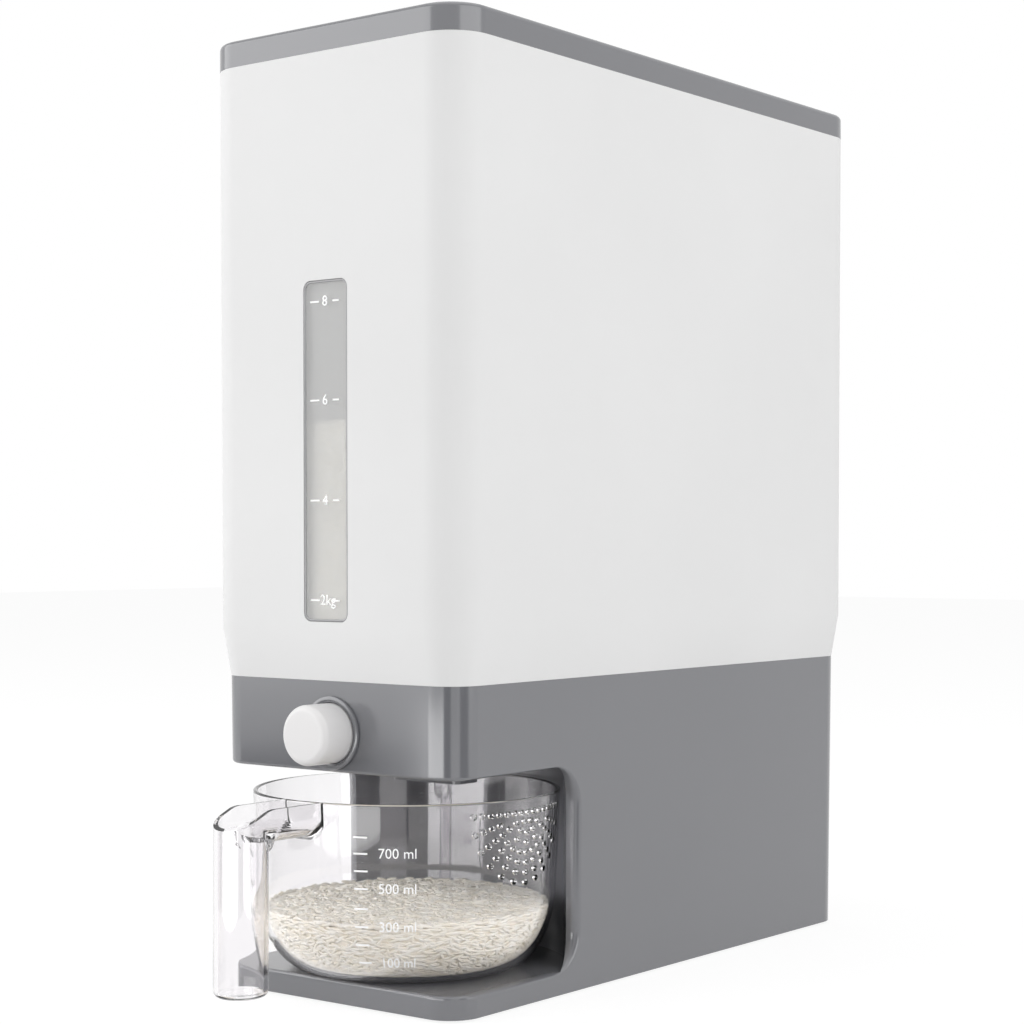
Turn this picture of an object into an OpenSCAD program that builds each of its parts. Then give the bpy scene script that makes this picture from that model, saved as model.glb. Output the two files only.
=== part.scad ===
// Rice dispenser: a tall lidded hopper on a base with an open bay.
// A push button slides a gate under the hopper, and rice drops into a clear
// measuring cup that stands in the bay and pulls out by its handle.
// Millimetres, +Z up, front towards -Y, origin under the middle of the whole
// object, on the surface that it stands on.

/* [Hopper] */
// Outside width of the hopper at the lid
hopper_w = 151.8; // [140:0.2:170]
// Outside depth of the hopper at the lid
hopper_d = 337.1; // [310:0.1:370]
// Height of the hopper from the base to the lid
hopper_h = 276.6; // [240:0.2:320]
// Plan radius of the hopper's corners
corner_r = 19; // [14:0.5:24]
// Draft angle of the hopper's sides, in degrees
hopper_draft = 0.3; // [0:0.1:0.8]
// Wall of the hopper
hopper_wall = 2.4; // [1.8:0.1:3.2]
// Height of the sloping waist at the hopper's foot
waist_h = 22.2; // [14:0.2:28]
// How far the waist steps in on each side
waist_in = 3.8; // [2:0.1:6]
// Width of the inward flange that the hopper stands on
flange_w = 14; // [12:0.5:16]

/* [Lid] */
// Height of the lid above the hopper
lid_h = 12.4; // [10:0.2:18]
// Radius of the lid's top edge
lid_edge_r = 2.5; // [1:0.1:4]
// Wall and top of the lid
lid_wall = 2.6; // [2:0.1:3.5]
// How far the lid's plug reaches into the hopper
plug_drop = 8; // [6:0.5:12]
// Gap between the plug and the hopper, filled by the seal
plug_gap = 2.2; // [1.8:0.1:3]
// Height of the seal
seal_h = 3; // [2:0.5:4]

/* [Window] */
// Width of the window
window_w = 26; // [20:0.5:32]
// Height of the window
window_h = 150; // [110:1:180]
// Lower edge of the window above the hopper's foot
window_rise = 26; // [26:0.5:40]
// Corner radius of the window
window_r = 4; // [2:0.5:6]
// How far the pane lies behind the hopper's face
pane_recess = 0.6; // [0.2:0.1:1.2]
// Width of the pane's flange behind the wall
pane_flange = 4; // [3:0.5:6]
// Thickness of the pane's flange
pane_flange_t = 1.6; // [1.2:0.1:2.4]

/* [Hopper floor] */
// Thickness of the sloping floor
floor_t = 2; // [1.6:0.1:3]
// Height of the floor's front edge above the hopper's foot
floor_front = 20.5; // [18:0.5:21]
// Height of the floor's rear edge above the hopper's foot
floor_rear = 81; // [60:1:100]

/* [Base] */
// Height of the base
base_h = 141; // [132:0.5:160]
// Draft angle of the base's sides, in degrees
base_draft = 0.6; // [0:0.1:1]
// Wall of the base
base_wall = 2.4; // [2:0.1:3]
// Thickness of the bottom plate
plate_t = 2.2; // [1.8:0.1:3]
// How far the bottom plate lies above the base's lower edge
plate_recess = 1; // [0.5:0.1:2]
// How far the feet stand below the base
foot_proud = 1; // [0.5:0.1:2]
// Radius of a foot
foot_r = 8; // [6:0.5:10]

/* [Bay] */
// Height of the tray's top above the base's lower edge
tray_top = 10.1; // [9:0.1:14]
// Clear height of the bay
bay_h = 90.9; // [88:0.1:95]
// Distance of the cup's axis behind the base's front
bay_axis_back = 51.2; // [45:0.1:58]
// Gap between the cup's rim and the bay's back wall
bay_gap = 2.9; // [2:0.1:6]
// How far the side openings reach behind the cup's axis
opening_back = 35.5; // [28:0.5:42]
// Corner radius of the side openings
opening_r = 16.5; // [10:0.5:22]
// Rounding round the side openings
opening_edge = 4; // [1:0.5:5]
// Radius under the front of the overhang
lip_r = 2.5; // [1:0.1:3.5]
// Radius along the front of the tray
tray_lip_r = 1.6; // [0.8:0.1:2.2]

/* [Measuring cup] */
// How far the cup's rim stays inside the base's sides
cup_inset = 0.1; // [0:0.1:4]
// Height of the cup
cup_h = 79.9; // [70:0.1:80]
// Wall of the cup
cup_wall = 2; // [1.6:0.1:2.6]
// Draft angle of the cup's side, in degrees
cup_draft = 3; // [1:0.1:5]
// Height of the rounded foot of the cup
cup_round_h = 34.6; // [20:0.2:44]
// Width of the rounded foot of the cup
cup_round_w = 20.6; // [12:0.2:30]
// Distance of the grip's axis in front of the cup's rim
grip_gap = 36.6; // [30:0.1:46]
// Outside radius of the grip
grip_r = 11.6; // [10:0.1:13]
// Length of the grip
grip_h = 78; // [60:0.5:79]
// Height of the trough between cup and grip
neck_h = 14.7; // [12:0.1:20]
// Radius along the lower edges of the trough
neck_r = 8.5; // [3:0.5:11]
// Radius under the trough where it meets the cup and the grip
neck_fillet = 5; // [2:0.5:7]
// Slope of the grip's top, in degrees
grip_slope = 24; // [4:1:28]
// Radius with which the grip's top bends down
slope_r = 14; // [4:1:20]

/* [Strainer] */
// Rings of holes round the middle of the top row
strain_rings = 7; // [4:1:8]
// Distance between two rings
strain_pitch = 4.4; // [3.8:0.1:4.8]
// Diameter of a strainer hole
strain_d = 2.2; // [1.6:0.1:2.8]
// Distance of the top row below the rim
strain_drop = 6.2; // [4:0.1:8]

/* [Button and gate] */
// Radius of the button
button_r = 13.2; // [11:0.1:13.6]
// How far the button stands out of the base
button_out = 18.6; // [16:0.1:22]
// Height of the button's axis above the base's lower edge
button_rise = 118.2; // [118:0.1:122]
// Travel of the button and the gate
button_travel = 14; // [12:0.5:15]
// Width of the ring round the button
bezel_w = 3.1; // [2.4:0.1:3.4]
// How far the ring stands out of the base
bezel_out = 1.6; // [1:0.1:2.5]
// Radius of the push rod
rod_r = 3; // [2.5:0.1:3.4]
// Width of the outlet
outlet_w = 36; // [28:0.5:40]
// Length of the outlet along the gate's travel
outlet_l = 13; // [10:0.5:13.5]
// Distance of the outlet behind the cup's axis
outlet_back = 20; // [16:0.5:24]
// Thickness of the gate
gate_t = 3; // [2.4:0.1:3.4]
// Wire of the return spring
spring_wire = 0.8; // [0.6:0.1:1]
// Radius of the return spring to the middle of its wire
spring_r = 2.8; // [2.4:0.1:3]
// Turns of the return spring
spring_turns = 7; // [5:1:8]

/* [Hidden] */

// Small gap that every cut runs past a face
past = 1;
// Sliding fit, loose fit and the film between seated faces
run = 0.15;
fit = 0.3;
seat = 0.05;

// Colours
grey = [0.54, 0.55, 0.57];
white = [0.93, 0.93, 0.94];
inner_grey = [0.72, 0.73, 0.75];
clear = [0.86, 0.85, 0.88, 0.4];
dark = [0.2, 0.2, 0.21];
pale = [0.9, 0.9, 0.9];
steel = [0.75, 0.76, 0.78];

// Heights
z_under = foot_proud;
z_waist = z_under + base_h;
z_seam = z_waist + hopper_h;
z_tray = z_under + tray_top;
z_ceil = z_tray + bay_h;
z_deck = z_ceil + base_wall;
z_plate = z_under + plate_recess;
z_axis = z_under + button_rise;
cup_lift = 0.2;
z_cup = z_tray + cup_lift;
z_rim = z_cup + cup_h;

// Plan sizes at the height z
function hopper_in(z) = (z_seam - z) * tan(hopper_draft);
function base_in(z) = (z_waist - z) * tan(base_draft);
shoulder_in = hopper_in(z_waist + waist_h);
waist_w = hopper_w - 2 * (shoulder_in + waist_in);
waist_d = hopper_d - 2 * (shoulder_in + waist_in);
function base_half_w(z) = waist_w / 2 - base_in(z);
function base_half_d(z) = waist_d / 2 - base_in(z);
base_r = corner_r - waist_in;

// Outside radius of the cup's rim, and the grip's axis in front of the cup's
cup_r = base_half_w(z_rim) - cup_inset;
grip_reach = cup_r + grip_gap;

// Places along the depth, from the middle of the body
y_front = -waist_d / 2;
y_cup = y_front + bay_axis_back;
y_outlet = y_cup + outlet_back;
bay_r = cup_r + bay_gap;
y_bay_back = y_cup + bay_r;
mid_y = (grip_reach + grip_r - y_cup - hopper_d / 2) / 2;

// Screws: shank, head, the bevels of both and the hole they cut into
screw_r = 1.4;
screw_head_r = 2.8;
screw_head_h = 1.8;
screw_bevel = 0.5;
screw_tip = 1;
screw_hole_r = screw_r + run;

// Columns for screws, and the ribs that tie them to a wall
boss_r = 4;
boss_rib = 2.2;
boss_rear_h = 30;
boss_plate_h = 20;
// Screws that hold the hopper on the base, near its corners
hopper_screw_in = hopper_wall + flange_w / 2 + screw_hole_r;
hopper_screw_x = waist_w / 2 - hopper_screw_in;
hopper_screw_y = waist_d / 2 - hopper_screw_in;
hopper_screw_l = 12;
hopper_pilot = 14;
// Screws that hold the bottom plate: their distance from the sides, the ends and the bay,
// with the front pair further in, beside the feet
plate_screw_side = 9;
plate_screw_inner = 20;
plate_screw_end = 38;
plate_screw_bay = 22;
plate_screws = [for (x = [-1, 1]) each [
    [x * (base_half_w(z_plate) - plate_screw_inner), y_front + plate_screw_end],
    [x * (base_half_w(z_plate) - plate_screw_side), y_bay_back + plate_screw_bay],
    [x * (base_half_w(z_plate) - plate_screw_side), base_half_d(z_plate) - plate_screw_end]
]];
plate_screw_l = 9;
// Top of a pilot hole above the base's lower edge: the front ones stop inside the tray
pilot_skin = 0.8;
function pilot_h(p) =
    p[1] < y_cup ? tray_top - pilot_skin : plate_recess + plate_t + plate_screw_l;

// Feet, in sockets of the bottom plate
foot_socket = 0.8;
foot_bevel = 1.2;
foot_in = foot_r + base_wall + 4;
foot_x = base_half_w(z_plate) - foot_in;
foot_y = base_half_d(z_plate) - foot_in;

// Plan radius inside the hopper's flange
flange_r = 8;

// Middle of the window
z_window = z_waist + window_rise + window_h / 2;

// Outside size of the lid's plug
plug_w = hopper_w - 2 * (hopper_wall + plug_gap);
plug_d = hopper_d - 2 * (hopper_wall + plug_gap);
plug_r = corner_r - hopper_wall - plug_gap;
plug_wall = 2;
// Ledge under the seal
ledge_h = 1.6;
ledge_out = 1.2;

// Button, ring and cap
button_fit = 0.3;
bezel_r = button_r + bezel_w;
bezel_sleeve = 1;
bezel_sleeve_r = button_r + button_fit + bezel_sleeve;
bezel_depth = 8;
bezel_groove = 0.8;
bezel_step = 0.2;
y_face = -base_half_d(z_axis) - bezel_r * tan(base_draft);
cap_wall = 1.8;
cap_flange = 1.6;
cap_edge_r = 3;
cap_fillet = 1;
rod_socket = 6;
y_cap = -base_half_d(z_axis) - button_out;
y_cap_end = y_face + bezel_depth + cap_flange + seat;

// Stack of the gate, from its lower face up
channel_t = 2.2;
channel_wall = 2.2;
cover_t = 2.4;
cover_step = 1.2;
seal_thick = 1.5;
gate_below = 15;
z_gate = z_waist - gate_below;
z_channel = z_gate - fit - channel_t;
z_cover = z_gate + gate_t + fit;
z_spring = z_gate + gate_t / 2;
outlet_corner = 1;
gate_side = 3;
gate_front = 4;
gate_rear = 3.5;
gate_w = outlet_w + 2 * gate_side;
tongue_w = 22;
lug_w = 14;
lug_t = 5;
lug_below = 2.5;
tab_t = 1.5;
// Gap in front of the channel when the gate is fully in
stop_gap = 0.5;
// Room for the spring when the gate is fully in
spring_gap = 9.5;
channel_lip = 1.2;
y_gate = y_outlet - outlet_l / 2 - button_travel - gate_front;
y_channel = y_outlet - outlet_l / 2 - button_travel + channel_lip;
y_lug = y_channel - stop_gap - button_travel - lug_t;
y_gate_end = y_outlet + outlet_l / 2 + gate_rear;
y_spring_end = y_gate_end + tab_t + button_travel + spring_gap;
y_channel_end = y_spring_end + channel_wall;
// Half width and depth of the trough that the spring lies in
spring_play = 0.8;
trough_w = spring_r + spring_wire / 2 + spring_play;
// Socket of the cover, round the hopper's throat
socket_wall = 2;
socket_h = 5;
// Posts that carry the channel by its ears
post_in = 6;
post_out = 1;
gate_posts = [for (x = [-1, 1], y = [y_channel + post_in, y_channel_end - post_in])
    [x * (gate_w / 2 + channel_wall + boss_r + post_out), y]];
gate_screw_l = 11;
gate_pilot = 12;

// Push rod, its clip and its guide
y_rod = y_cap + cap_wall + seat;
rod_tail = 3.2;
rod_groove = 0.8;
shoulder_t = 2;
shoulder_out = 1.6;
y_rod_end = y_lug + lug_t + rod_tail;
clip_t = 1.2;
clip_out = 2.2;
guide_t = 4.5;
guide_pad = 3;
guide_pilot = 0.6;
guide_gap = 2.5;
guide_neck_w = 18;
guide_foot_l = 9;
guide_foot_t = 2.2;
guide_screw_x = 14;
guide_screw_back = 4;
guide_screw_l = 5;
y_guide = y_lug - guide_t / 2 - guide_gap;
y_guide_screw = y_guide + guide_screw_back;

// Sloping floor with a throat into the gate's cover
floor_gap = 0.4;
z_skirt = z_waist + hopper_wall + seat;
z_mouth = z_skirt + floor_t;
throat_wall = 2;
z_throat = z_cover + cover_t - cover_step + seal_thick + seat;

// Spout over the cup
nozzle_wall = 1.8;
nozzle_w = outlet_w + 2 * nozzle_wall;
nozzle_l = outlet_l + 2 * nozzle_wall;
nozzle_corner = 3;
nozzle_clear = 1;
nozzle_flange = 2;
nozzle_lip = 2.5;

// Rounded foot of the bowl: points of its curve and how full the curve is
bowl_arc = 12;
bowl_power = 1.9;
// Length of the cutter for a strainer hole, and how much of it lies outside the rim
strain_cut = 16;
strain_past = 4;
// How much of the rounding round a side opening its tray's and its ceiling's edges have
tray_share = 0.4;
ceil_share = 0.35;
// Radius at the foot of the grip, and how far behind its axis the sloping top starts
grip_foot_r = 3;
slope_start = 6.2;

// ---------- shared shapes ----------

// Everything is drawn round the middle of the body, then moved so that the
// origin lies under the middle of the whole object
module in_place() translate([0, mid_y, 0]) children();

// Rounded rectangle, centred
module plan(w, d, r) {
    square([w - 2 * r, d], center = true);
    square([w, d - 2 * r], center = true);
    for (x = [-1, 1], y = [-1, 1])
        translate([x * (w / 2 - r), y * (d / 2 - r)]) circle(r, $fn = 40);
}

// Points of a rounded rectangle at the height z, anticlockwise from above
corner_steps = 8;
function plan_points(w, d, r, z) = [for (k = [0:3], i = [0:corner_steps])
    let (a = 90 * (k + i / corner_steps), x = k == 0 || k == 3 ? 1 : -1, y = k < 2 ? 1 : -1)
    [x * (w / 2 - r) + r * cos(a), y * (d / 2 - r) + r * sin(a), z]];

// Solid through a row of rings of as many points each, anticlockwise seen from the last ring
module skin(rings) {
    n = len(rings[0]);
    last = len(rings) - 1;
    sides = [for (k = [0:last - 1], i = [0:n - 1])
        let (j = (i + 1) % n) [k * n + i, (k + 1) * n + i, (k + 1) * n + j, k * n + j]];
    polyhedron([for (ring = rings) each ring],
               concat(sides, [[for (i = [0:n - 1]) i]], [[for (i = [n - 1:-1:0]) last * n + i]]));
}

// Solid through a stack of rounded rectangles, each given as [height, width, depth, radius]
module loft(levels) skin([for (v = levels) plan_points(v[1], v[2], v[3], v[0])]);

// Plan of the hopper and of the base at the height z, made smaller by inset
function hopper_level(z, inset) =
    let (waist = waist_in * max(0, z_waist + waist_h - z) / waist_h,
         side = hopper_in(max(z, z_waist + waist_h)) + waist + inset)
    [z, hopper_w - 2 * side, hopper_d - 2 * side, corner_r - waist - inset];
function base_level(z, inset) =
    [z, 2 * (base_half_w(z) - inset), 2 * (base_half_d(z) - inset), base_r - inset];

// The hopper's outside from z0, in the waist, up to z1, made smaller by inset
module hopper_body(z0, z1, inset)
    loft([for (z = [z0, z_waist + waist_h, z1]) hopper_level(z, inset)]);

// The base's outside from z0 to z1, made smaller by inset
module base_prism(z0, z1, inset) loft([for (z = [z0, z1]) base_level(z, inset)]);

// Cylinder along Y from y0 to y1
module bar(r, y0, y1, x, z)
    translate([x, y0, z]) rotate([-90, 0, 0]) cylinder(r = r, h = y1 - y0, $fn = 48);

// Block from one corner to the other
module block(a, b) translate(a) cube(b - a);

// Pan-head screw whose head rests on z, with its shank down (-1) or up (1)
module screw(x, y, z, length, way = -1)
    translate([x, y, z]) mirror([0, 0, way < 0 ? 1 : 0]) rotate_extrude($fn = 32) polygon([
        [0, -screw_head_h], [screw_head_r - screw_bevel, -screw_head_h],
        [screw_head_r, -screw_head_h + screw_bevel], [screw_head_r, 0], [screw_r, 0],
        [screw_r, length - screw_tip], [screw_r - screw_tip, length], [0, length]
    ]);

// ---------- base ----------

// Outline of the bay seen from the side, from the front to y1
module bay_side(y1, r, z0, z1) {
    y0 = -hopper_d;
    translate([y0, z0]) square([y1 - r - y0, z1 - z0]);
    translate([y0, z0 + r]) square([y1 - y0, z1 - z0 - 2 * r]);
    for (z = [z0 + r, z1 - r]) translate([y1 - r, z]) circle(r, $fn = 48);
}

// The bay's hollow, or with grow its walls' outer faces
module bay_space(grow) {
    y1 = y_cup + opening_back + grow;
    rotate([90, 0, 90]) translate([0, 0, -hopper_w / 2])
        linear_extrude(hopper_w) bay_side(y1, opening_r + grow, z_tray - grow, z_ceil + grow);
    translate([0, y_cup, z_tray - grow])
        cylinder(r = bay_r + grow, h = bay_h + 2 * grow, $fn = 96);
}

// Ring round a side opening that lies w outside its outline and d under the side's face
function opening_ring(w, d) =
    let (r = opening_r + w, y = y_cup + opening_back - opening_r,
         z0 = z_tray - tray_share * w, z1 = z_ceil + ceil_share * w)
    [for (p = concat([[-hopper_d, z0]],
                     [for (a = [-90:7.5:0]) [y + r * cos(a), z0 + r + r * sin(a)]],
                     [for (a = [0:7.5:90]) [y + r * cos(a), z1 - r + r * sin(a)]],
                     [[-hopper_d, z1]]))
        [base_half_w(p[1]) - d, p[0], p[1]]];

// Rounding round one side opening, which starts in the bay's hollow
module opening_flare(side)
    mirror([side < 0 ? 1 : 0, 0, 0]) skin(concat(
        [opening_ring(-past, opening_edge + past)],
        [for (a = [0:18:90]) opening_ring(opening_edge * (1 - cos(a)), opening_edge * (1 - sin(a)))],
        [opening_ring(opening_edge, -opening_edge)]));

// Rounding along the front of the bay, turned up (1) or down (-1) from z, which
// starts in the bay's hollow
module front_round(r, z, turn) {
    angles = turn > 0 ? [0:22.5:90] : [90:-22.5:0];
    start = base_level(z - turn * past, r);
    curve = [for (a = angles) base_level(z + turn * r * (1 - cos(a)), r * (1 - sin(a)))];
    ends = [z - turn * past, z + turn * r];
    difference() {
        block([-hopper_w, -hopper_d, min(ends)], [hopper_w, y_front + base_r, max(ends)]);
        loft(turn > 0 ? concat([start], curve) : concat(curve, [start]));
    }
}

// Column with a rib to the wall beside it
module wall_boss(x, y, z0, z1) {
    side = sign(x);
    translate([x, y, z0]) cylinder(r = boss_r, h = z1 - z0, $fn = 32);
    block([side > 0 ? x : -base_half_w(z0) + base_wall / 2, y - boss_rib / 2, z0],
          [side > 0 ? base_half_w(z0) - base_wall / 2 : x, y + boss_rib / 2, z1]);
}

module base_shell() color(grey) in_place() difference() {
    union() {
        difference() {
            base_prism(z_under, z_waist, 0);
            base_prism(z_under - past, z_waist + past, base_wall);
        }
        intersection() {
            base_prism(z_under, z_waist, 0);
            bay_space(base_wall);
        }
        // Columns under the hopper's corners: the front pair stands on the deck
        for (x = [-1, 1]) {
            wall_boss(x * hopper_screw_x, -hopper_screw_y, z_ceil + base_wall / 2, z_waist);
            wall_boss(x * hopper_screw_x, hopper_screw_y, z_waist - boss_rear_h, z_waist);
        }
        // Columns for the bottom plate
        for (p = plate_screws)
            if (p[1] < y_cup)
                translate([p[0], p[1], z_plate + plate_t])
                    cylinder(r = boss_r, h = z_tray - base_wall / 2 - z_plate - plate_t, $fn = 32);
            else
                wall_boss(p[0], p[1], z_plate + plate_t, z_plate + plate_t + boss_plate_h);
        // Posts that carry the gate
        for (p = gate_posts) translate([p[0], p[1], z_ceil + base_wall / 2])
            cylinder(r = boss_r, h = z_channel - z_ceil - base_wall / 2, $fn = 32);
        // Pads that carry the rod's guide
        for (x = [-1, 1]) translate([x * guide_screw_x, y_guide_screw, z_ceil + base_wall / 2])
            cylinder(r = boss_r, h = guide_pad + base_wall / 2, $fn = 32);
    }
    bay_space(0);
    for (side = [-1, 1]) opening_flare(side);
    front_round(lip_r, z_ceil, 1);
    front_round(tray_lip_r, z_tray, -1);
    bar(bezel_sleeve_r + run, y_front - past, y_front + 3 * base_wall, 0, z_axis);
    translate([0, y_outlet, 0])
        linear_extrude(z_deck + past) plan(nozzle_w + 2 * fit, nozzle_l + 2 * fit, nozzle_corner);
    // Pilot holes
    for (x = [-1, 1], y = [-1, 1])
        translate([x * hopper_screw_x, y * hopper_screw_y, z_waist - hopper_pilot])
            cylinder(r = screw_hole_r, h = hopper_pilot + past, $fn = 24);
    for (p = plate_screws) translate([p[0], p[1], z_under])
        cylinder(r = screw_hole_r, h = pilot_h(p), $fn = 24);
    for (p = gate_posts) translate([p[0], p[1], z_channel - gate_pilot])
        cylinder(r = screw_hole_r, h = gate_pilot + past, $fn = 24);
    for (x = [-1, 1]) translate([x * guide_screw_x, y_guide_screw, z_deck - guide_pilot])
        cylinder(r = screw_hole_r, h = guide_pad + past, $fn = 24);
}
module base_plate() color(grey) in_place() difference() {
    base_prism(z_plate, z_plate + plate_t, base_wall + fit);
    for (p = plate_screws) translate([p[0], p[1], z_plate - past]) {
        cylinder(r = screw_hole_r, h = plate_t + 2 * past, $fn = 24);
        cylinder(r = screw_head_r + fit, h = past + plate_t / 2, $fn = 32);
    }
    for (x = [-1, 1], y = [-1, 1]) translate([x * foot_x, y * foot_y, z_plate - past])
        cylinder(r = foot_r + run, h = past + foot_socket, $fn = 48);
}

module foot(x, y) color(dark) in_place()
    translate([x * foot_x, y * foot_y, 0]) rotate_extrude($fn = 48) polygon([
        [0, 0], [foot_r - foot_bevel, 0], [foot_r - foot_bevel / 4, foot_bevel / 2],
        [foot_r, foot_bevel],
        [foot_r, z_plate + foot_socket - seat], [0, z_plate + foot_socket - seat]
    ]);

// The heads lie in the counterbores of the bottom plate
module base_screws() color(steel) in_place() for (p = plate_screws)
    screw(p[0], p[1], z_plate + plate_t / 2 - seat,
          min(plate_screw_l, pilot_h(p) - plate_recess - plate_t / 2 - fit), 1);

// ---------- hopper ----------

// Origin on the hopper's sloping face, +Y into the hopper
module at_window()
    translate([0, hopper_in(z_window) - hopper_d / 2, z_window]) rotate([hopper_draft, 0, 0]) children();

module upright_plan(w, h, r, y0, y1)
    translate([0, y1, 0]) rotate([90, 0, 0]) linear_extrude(y1 - y0) plan(w, h, r);

module hopper_shell() color(white) in_place() difference() {
    hopper_body(z_waist, z_seam, 0);
    hopper_body(z_waist + hopper_wall, z_seam + past, hopper_wall);
    translate([0, 0, z_waist - past])
        linear_extrude(hopper_wall + 2 * past)
        plan(waist_w - 2 * (hopper_wall + flange_w), waist_d - 2 * (hopper_wall + flange_w), flange_r);
    at_window() upright_plan(window_w, window_h, window_r, -past, hopper_wall + past);
    for (x = [-1, 1], y = [-1, 1])
        translate([x * hopper_screw_x, y * hopper_screw_y, z_waist - past])
            cylinder(r = screw_hole_r, h = hopper_wall + 2 * past, $fn = 24);
}

module window_pane() color(clear) in_place() at_window() {
    upright_plan(window_w - 2 * fit, window_h - 2 * fit, window_r - fit,
                 pane_recess, hopper_wall + seat + pane_flange_t / 2);
    upright_plan(window_w + 2 * pane_flange, window_h + 2 * pane_flange, window_r + pane_flange,
                 hopper_wall + seat, hopper_wall + seat + pane_flange_t);
}

// Sloping floor with a skirt that stands on the hopper's flange

// Everything below the floor's tilted top edge, lowered by drop
module under_slope(drop)
    rotate([90, 0, 90]) translate([0, 0, -hopper_w]) linear_extrude(2 * hopper_w) polygon([
        [-hopper_d / 2, 0], [hopper_d / 2, 0],
        [hopper_d / 2, z_waist + floor_rear - drop], [-hopper_d / 2, z_waist + floor_front - drop]
    ]);

// The funnel's hollow, made larger by grow
module funnel_space(grow) {
    half_w = hopper_w / 2 - shoulder_in - hopper_wall - floor_gap - floor_t + grow;
    half_d = hopper_d / 2 - shoulder_in - hopper_wall - floor_gap - floor_t + grow;
    mouth_w = outlet_w / 2 + grow;
    mouth_l = outlet_l / 2 + grow;
    front = z_waist + floor_front - grow;
    rear = z_waist + floor_rear - grow;
    rise = (rear - front) / hopper_d;
    z_a = front + rise * (hopper_d / 2 - half_d);
    z_b = front + rise * (hopper_d / 2 + half_d);
    low = z_mouth - grow;
    above = 40;
    hull() {
        for (x = [-1, 1]) {
            for (y = [y_outlet - mouth_l, y_outlet + mouth_l])
                translate([x * mouth_w, y, low]) cube(0.01, center = true);
            translate([x * half_w, -half_d, z_a]) cube(0.01, center = true);
            translate([x * half_w, half_d, z_b]) cube(0.01, center = true);
            translate([x * half_w, -half_d, z_a + above]) cube(0.01, center = true);
            translate([x * half_w, half_d, z_b + above]) cube(0.01, center = true);
        }
    }
}

module hopper_floor() color(inner_grey) in_place() difference() {
    union() {
        intersection() {
            difference() {
                hopper_body(z_skirt, z_seam, hopper_wall + floor_gap);
                difference() {
                    hopper_body(z_skirt - past, z_seam + past, hopper_wall + floor_gap + floor_t);
                    funnel_space(floor_t);
                }
            }
            under_slope(0);
        }
        translate([0, y_outlet, z_throat]) linear_extrude(z_mouth - z_throat)
            plan(outlet_w + 2 * throat_wall, outlet_l + 2 * throat_wall, throat_wall);
    }
    funnel_space(0);
    translate([0, y_outlet, z_throat - past])
        linear_extrude(z_mouth - z_throat + 2 * past) plan(outlet_w, outlet_l, outlet_corner);
}

module hopper_screws() color(steel) in_place()
    for (x = [-1, 1], y = [-1, 1])
        screw(x * hopper_screw_x, y * hopper_screw_y, z_waist + hopper_wall + seat, hopper_screw_l);

// ---------- lid ----------

// The lid's outside, with a rounded top edge
module lid_body() {
    z_edge = z_seam + lid_h - lid_edge_r;
    loft(concat([[z_seam, hopper_w, hopper_d, corner_r]],
        [for (a = [0:18:90]) let (e = lid_edge_r * (1 - cos(a)))
            [z_edge + lid_edge_r * sin(a), hopper_w - 2 * e, hopper_d - 2 * e, corner_r - e]]));
}

module lid() color(grey) in_place() difference() {
    union() {
        difference() {
            lid_body();
            translate([0, 0, z_seam - past]) linear_extrude(lid_h - lid_wall + past)
                plan(hopper_w - 2 * lid_wall, hopper_d - 2 * lid_wall, corner_r - lid_wall);
        }
        translate([0, 0, z_seam - plug_drop])
            linear_extrude(plug_drop + lid_h - lid_wall / 2) plan(plug_w, plug_d, plug_r);
        translate([0, 0, z_seam - plug_drop]) linear_extrude(ledge_h)
            plan(plug_w + 2 * ledge_out, plug_d + 2 * ledge_out, plug_r + ledge_out);
    }
    translate([0, 0, z_seam - plug_drop - past])
        linear_extrude(plug_drop + lid_h - lid_wall + past)
        plan(plug_w - 2 * plug_wall, plug_d - 2 * plug_wall, plug_r - plug_wall);
}

module lid_seal() color(pale) in_place()
    translate([0, 0, z_seam - plug_drop + ledge_h + seat]) linear_extrude(seal_h) difference() {
        thick = plug_gap - fit;
        plan(plug_w + 2 * thick, plug_d + 2 * thick, plug_r + thick);
        plan(plug_w + 2 * seat, plug_d + 2 * seat, plug_r + seat);
    }

// ---------- button ----------

// Ring and sleeve that the button runs in
module button_bezel() color(grey) in_place() translate([0, y_face, z_axis]) rotate([-90, 0, 0]) {
    bore = button_r + button_fit;
    rotate_extrude($fn = 72) polygon([
        [bore, -bezel_out * 0.6], [bore + bezel_groove, -bezel_out * 0.6],
        [bore + bezel_groove + bezel_step, -bezel_out], [bezel_r - bezel_groove, -bezel_out],
        [bezel_r - bezel_step, -bezel_out * 0.75], [bezel_r, -bezel_out * 0.4], [bezel_r, 0],
        [bezel_sleeve_r, 0], [bezel_sleeve_r, bezel_depth], [bore, bezel_depth]
    ]);
}

// Hollow cap with a rounded front, a stop flange and a socket for the rod
module button_cap() color(white) in_place() translate([0, y_cap, z_axis]) rotate([-90, 0, 0]) {
    length = y_cap_end - y_cap;
    flange_r = bezel_sleeve_r - run;
    inner_r = button_r - cap_wall;
    socket_r = rod_r + run;
    rotate_extrude($fn = 72) polygon(concat(
        [[0, 0]],
        [for (a = [0:15:90]) [button_r - cap_edge_r * (1 - sin(a)), cap_edge_r * (1 - cos(a))]],
        [
            [button_r, length - cap_flange], [flange_r, length - cap_flange],
            [flange_r, length], [inner_r, length],
            [inner_r, cap_wall + cap_fillet], [inner_r - cap_fillet, cap_wall],
            [socket_r + cap_wall, cap_wall], [socket_r + cap_wall, cap_wall + rod_socket],
            [socket_r, cap_wall + rod_socket], [socket_r, cap_wall], [0, cap_wall]
        ]));
}

// ---------- gate ----------

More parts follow.
